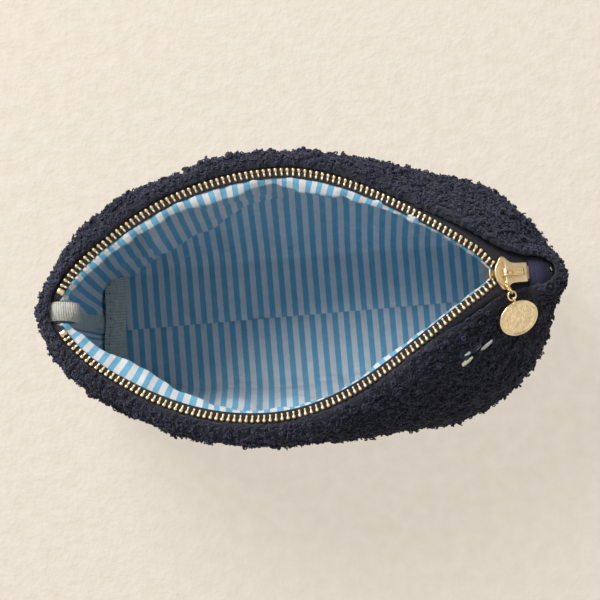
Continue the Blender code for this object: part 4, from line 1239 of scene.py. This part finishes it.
def smooth_path(points, count):
    """A curve through a few points, by Catmull-Rom."""
    p = np.array(points, float)
    p = np.concatenate([[2 * p[0] - p[1]], p, [2 * p[-1] - p[-2]]])
    out = []
    for t in np.linspace(0, len(p) - 3 - 1e-6, count):
        i, f = int(t), t - int(t)
        a, b, c, d = p[i : i + 4]
        square, cube = 2 * a - 5 * b + 4 * c - d, 3 * b - a - 3 * c + d
        out.append(0.5 * (2 * b + (c - a) * f + square * f**2 + cube * f**3))
    return np.array(out)


def stitches(name, places, run, up, length, yarn, material):
    """Short stitches lying on cloth, one at each place."""
    solids = []
    for p, r, n in zip(places, run, up):
        share = np.linspace(-1, 1, 7)
        path = [p + r * (s * length / 2) + n * (yarn * (1.0 - 1.6 * s * s)) for s in share]
        solids.append(lofted(tube(path, yarn * np.sqrt(np.maximum(1.02 - share**2 * 0.8, 0.1)), n)))
    return joined_mesh(name, solids, material, "pouch")


def make_tab():
    x = TAB_START + np.linspace(0, TAB_LENGTH, 40)
    lift = ROW_RISE_CLOSED + 1.3 * MM
    share = np.linspace(0, 1, 40)
    middle = np.column_stack([x, 0 * x, rim_height(x) + lift - 1.4 * MM * share**3]) - MIDDLE
    half = TAB_HALF * (1 - 0.24 * smoothstep(share, 0.72, 1.0))
    run = unit(np.gradient(middle, axis=0))
    across = np.broadcast_to((0.0, 1.0, 0.0), middle.shape)
    up = np.cross(run, across)
    up = up * np.sign(up[:, 2:3])
    tab, rows = ribbon("end_tab", middle, across, half, up, NAVY_RIBBON, 21, 1.3 * MM)
    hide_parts("zip_end_tab")
    places, runs, ups = [], [], []
    for column in range(3, 19, 2):
        spot = rows[5, column]
        places.append(spot + up[5] * 0.38 * MM)
        runs.append(np.array((0.0, 1.0, 0.0)))
        ups.append(up[5])
    row = stitches("tab_stitching", places, runs, ups, 0.9 * MM, 0.16 * MM, NAVY_THREAD)
    end = rows[-1, 12] + np.array((0.6, 0, 0.2)) * MM
    way = unit(np.array((0.35, -0.9, 0.1)))
    speck = stitches("loose_thread", [end], [way], [up[-1]], 2.2 * MM, 0.28 * MM, LIME_THREAD)


# The left side seam's bound end folds over the rim, and then hangs down (millimetres)
LEFT_FOLD = [(-107.8, 1.0, 106.6), (-104.5, 0.9, 107.7), (-100.0, 0.4, 106.9), (-96.6, -0.1, 104.4),
             (-95.7, -0.3, 100.6), (-97.6, 0.3, 96.2), (-101.0, 0.9, 90.0)]


def make_side_binding(end):
    """The bound side seam: it stands in from the rim, folds back and runs down the wall."""
    word = "left" if end < 0 else "right"
    count = BINDING_POINTS
    rows, normal = layer(FRONT, 3, 40, 3, 3, LINING_TAUT)
    column = 0 if end < 0 else 2
    wall = rows[:40, column] - normal[:40, column] * (LINING_OFFSET + 1.0 * MM)
    wall[:, 1] = -MIDDLE[1]
    inward = np.array((-end, 0.0, 0.0))
    if end < 0:
        path = list(np.array(LEFT_FOLD) * MM)
        path += [wall[i] + np.array((0.6, 1.4 + 0.08 * (i - 9), 0)) * MM for i in range(9, 40, 5)]
        path.append(wall[39] + np.array((2.6, 4.2, -3.2)) * MM)
    else:
        path = [wall[1] + inward * 0.5 * MM, wall[3] + inward * 1.0 * MM]
        path += [wall[i] + np.array((-0.6, 0, 0)) * MM for i in range(11, 37, 5)]
    middle = smooth_path(path, count)
    run = unit(np.gradient(middle, axis=0))
    share = np.linspace(0, 1, count)
    twist = np.radians(9) * np.sin(share * 6.0) if end < 0 else 0 * share
    across = np.column_stack([-run[:, 1] + 0.12 * np.sin(share * 9), np.cos(twist), np.sin(twist)])
    across = unit(across - run * np.sum(across * run, axis=1)[:, None])
    up = np.cross(run, across)
    toward = inward + np.array((0, 0, 0.8))
    up = up * np.sign(np.sum(up * toward, axis=1))[:, None]
    half = (3.9 + 0.9 * smoothstep(share, 0.3, 0.7)) * MM
    name = "side_seam_binding_" + word
    obj, _ = ribbon(name, middle, across, half, up, CREAM_RIBBON, 15, 0.9 * MM)
    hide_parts("side_binding_" + word)


def make_corner_binding(end):
    """The bound edge across the floor's end, bowed in the middle, with its row of stitches."""
    word = "left" if end < 0 else "right"
    low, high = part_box("corner_binding_" + word)
    share = np.linspace(-1, 1, CORNER_POINTS)
    y = share * CORNER_HALF_LENGTH
    x = (low[0] + high[0]) / 2 + end * CORNER_OUTWARDS + 0.07 * y + 0.3 * MM * np.sin(share * 7)
    rising = 4.5 * MM * smoothstep(np.abs(share), 0.78, 1.0)
    z = high[2] + 1.6 * MM + 0.6 * MM * (1 - share**2) ** 2 + rising
    middle = np.column_stack([x, y, z])
    run = unit(np.gradient(middle, axis=0))
    up0 = unit(np.array((-end * 0.45, 0.0, 1.0)))
    across = unit(np.cross(run, up0))
    up = unit(np.cross(across, run))
    up = up * np.sign(up[:, 2:3])
    half = (4.5 + 0.5 * (1 - share**2) - 0.9 * smoothstep(np.abs(share), 0.8, 1.0)) * MM
    name = "corner_seam_binding_" + word
    obj, rows = ribbon(name, middle, across, half, up, CREAM_RIBBON, 17, 0.7 * MM)
    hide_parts("corner_binding_" + word)
    places, runs, ups = [], [], []
    column = 3 if (rows[0, 0, 0] - rows[0, -1, 0]) * end > 0 else 13
    for i in range(3, CORNER_POINTS - 2, 4):
        places.append(rows[i, column] + up[i] * (BINDING_THICKNESS / 2 + 0.02 * MM))
        runs.append(run[i])
        ups.append(up[i])
    thread = stitches("binding_stitches_" + word, places, runs, ups, 1.5 * MM, 0.2 * MM, GREY_THREAD)


# Embroidery: satin stitches on the front, near the slider

LEAVES = [  # x, y, turn seen from above in degrees, length, width, colour
    (65.5, -30.6, 27, 3.4, 1.3, (0.80, 0.88, 0.93)),
    (69.4, -28.1, 38, 3.2, 1.3, (0.50, 0.74, 0.88)),
    (73.7, -28.3, 30, 6.3, 1.8, (0.88, 0.88, 0.90)),
    (65.4, -34.9, 47, 5.3, 1.5, (0.74, 0.76, 0.55)),
    (63.9, -34.2, 60, 2.2, 0.9, (0.72, 0.64, 0.50)),
]
THREAD = 0.19 * MM


def make_leaves(surface, normals):
    """Satin stitches side by side, each across its leaf, standing out of the pile."""
    high = surface[:, :, 2] > 70 * MM
    flat, facing = surface[high], normals[high]
    for number, (x, y, turn, length, width, colour) in enumerate(LEAVES):
        nearest = np.argmin(np.hypot(flat[:, 0] - x * MM, flat[:, 1] - y * MM))
        spot, up = flat[nearest], unit(facing[nearest])
        ahead = np.array((math.cos(math.radians(turn)), math.sin(math.radians(turn)), 0.0))
        run = ahead - up * np.dot(ahead, up)
        length = length / np.linalg.norm(run[:2])
        run = unit(run)
        over = np.cross(up, run)
        slant = unit(run * 0.5 + over)
        solids = []
        count = max(7, round(length / 0.3))
        for k in range(count):
            s = -1 + 2 * (k + 0.5) / count
            half = width * MM / 2 * (1 - s * s) ** 0.7 + 0.12 * MM
            centre = spot + run * (s * length * MM / 2) + up * (PILE + 0.7 * MM + 0.35 * MM * (1 - s * s))
            path = [centre + slant * (t * half) - up * (0.6 * MM * t * t) for t in np.linspace(-1, 1, 7)]
            solids.append(lofted(tube(path, THREAD, run, 6)))
        satin = thread_material(f"leaf_thread_{number}", colour)
        joined_mesh(f"embroidered_leaf_{number}", solids, satin, "pouch")


# Stage

CAMERA_TARGET = Vector((-2.06, -3.4, 110.0)) * MM
CAMERA_ELEVATION = math.radians(84.0)
CAMERA_ROLL = math.radians(4.9)
CAMERA_DISTANCE = 770.0 * MM
FOCAL_WIDTHS = 770.0 / 252.0  # focal length over the sensor's width
FLOOR_HALF = 3.0
FLOOR_GLOW = 0.74  # share of the floor's colour that the camera and the metal see as glow
WORLD_LIGHT = 0.24
PANELS = (0.30, 1.15)  # the dimmest and brightest parts of the studio that the metal shows
KEY_PLACE = (-0.66, 0.84, 1.18)  # behind the pouch, to its left, as the photo's soft shadow says
KEY_TARGET = (0.0, 0.0, 0.08)
KEY_SIZE = 0.9
KEY_POWER = 26.0


def make_floor():
    """Pale plaster. What camera and metal see of it is part glow, so that its shadow stays light."""
    n = Nodes("plaster")
    coarse = n.noise(150.0, 3.0, 0.5)
    fine = n.noise(420.0, 3.0, 0.55)
    colour = n.ramp(coarse, (0.3, (0.835, 0.755, 0.645)), (0.7, (0.88, 0.80, 0.695)))
    n.colour(colour)
    n.bump(n.math("MULTIPLY_ADD", fine, 0.7, coarse), 0.5, 3.0 * MM)
    n.set(Roughness=0.85)
    glow = n.add("Emission")
    n.link(colour, glow.inputs["Color"])
    ray = n.add("LightPath")
    seen = n.math("MAXIMUM", ray.outputs["Is Camera Ray"], ray.outputs["Is Glossy Ray"])
    blend = n.add("MixShader")
    n.link(n.math("MULTIPLY", seen, FLOOR_GLOW), blend.inputs[0])
    n.link(n.shader.outputs[0], blend.inputs[1])
    n.link(glow.outputs[0], blend.inputs[2])
    n.link(blend.outputs[0], n.tree.nodes["Material Output"].inputs["Surface"])
    corners = [(x, y, 0) for x, y in rectangle(-FLOOR_HALF, FLOOR_HALF, -FLOOR_HALF, FLOOR_HALF)]
    mesh = bpy.data.meshes.new("floor")
    mesh.from_pydata(corners, [], [(0, 1, 2, 3)])
    mesh.materials.append(n.material)
    floor = new_object("floor", mesh)


def make_lights():
    """One large soft lamp, and a dim world. Its panels are seen by the camera and in the metal only."""
    light = bpy.data.lights.new("key", "AREA")
    light.shape = "DISK"
    light.size = KEY_SIZE
    light.energy = KEY_POWER
    light.color = (1.0, 0.98, 0.95)
    key = new_object("key", light)
    key.location = KEY_PLACE
    aim = Vector(KEY_TARGET) - Vector(KEY_PLACE)
    key.rotation_euler = aim.to_track_quat("-Z", "Y").to_euler()
    world = bpy.data.worlds.new("studio")
    bpy.context.scene.world = world
    world.use_nodes = True
    nodes, links = world.node_tree.nodes, world.node_tree.links
    background = nodes["Background"]
    background.inputs["Color"].default_value = (1.0, 0.975, 0.94, 1.0)
    ray = nodes.new("ShaderNodeLightPath")
    seen = nodes.new("ShaderNodeMath")
    seen.operation = "MAXIMUM"
    links.new(ray.outputs["Is Camera Ray"], seen.inputs[0])
    links.new(ray.outputs["Is Glossy Ray"], seen.inputs[1])
    panels = nodes.new("ShaderNodeTexNoise")
    panels.inputs["Scale"].default_value = 2.6
    panels.inputs["Detail"].default_value = 1.0
    shown = nodes.new("ShaderNodeMapRange")
    limits = {"From Min": 0.38, "From Max": 0.62, "To Min": PANELS[0], "To Max": PANELS[1]}
    for socket, value in limits.items():
        shown.inputs[socket].default_value = value
    links.new(panels.outputs["Fac"], shown.inputs["Value"])
    strength = nodes.new("ShaderNodeMapRange")
    strength.inputs["To Min"].default_value = WORLD_LIGHT
    links.new(seen.outputs[0], strength.inputs["Value"])
    links.new(shown.outputs[0], strength.inputs["To Max"])
    links.new(strength.outputs[0], background.inputs["Strength"])


def make_camera():
    """Nearly straight above the pouch, a little towards its front, and turned a little."""
    data = bpy.data.cameras.new("camera")
    data.sensor_width = 36.0
    data.lens = data.sensor_width * FOCAL_WIDTHS
    camera = new_object("camera", data)
    c, s = math.cos(CAMERA_ELEVATION), math.sin(CAMERA_ELEVATION)
    right, up, back = Vector((1, 0, 0)), Vector((0, s, c)), Vector((0, -c, s))
    roll_right = right * math.cos(CAMERA_ROLL) - up * math.sin(CAMERA_ROLL)
    roll_up = right * math.sin(CAMERA_ROLL) + up * math.cos(CAMERA_ROLL)
    turn = Matrix((roll_right, roll_up, back)).transposed().to_4x4()
    camera.matrix_world = Matrix.Translation(CAMERA_TARGET + back * CAMERA_DISTANCE) @ turn
    bpy.context.scene.camera = camera


make_camera()
make_lights()
make_floor()
for side in (FRONT, BACK):
    surface, normals = make_fleece(side)
    if side == FRONT:
        make_leaves(surface, normals)
    for half, first, last in (("left", 0.0, 0.5), ("right", 0.5, 1.0)):
        make_curls(side, surface, normals, f"curly_pile_{WORD[side]}_{half}", first, last)
    make_lining(side)
    make_tape(side)
    make_teeth(side)
for end in (-1, 1):
    make_side_binding(end)
    make_corner_binding(end)
make_tab()
make_slider()
make_pull()
make_charm()
for slot in bpy.data.objects["bottom_stop"].material_slots:
    slot.material = GOLD_TEETH

bpy.context.scene.view_settings.view_transform = "Standard"
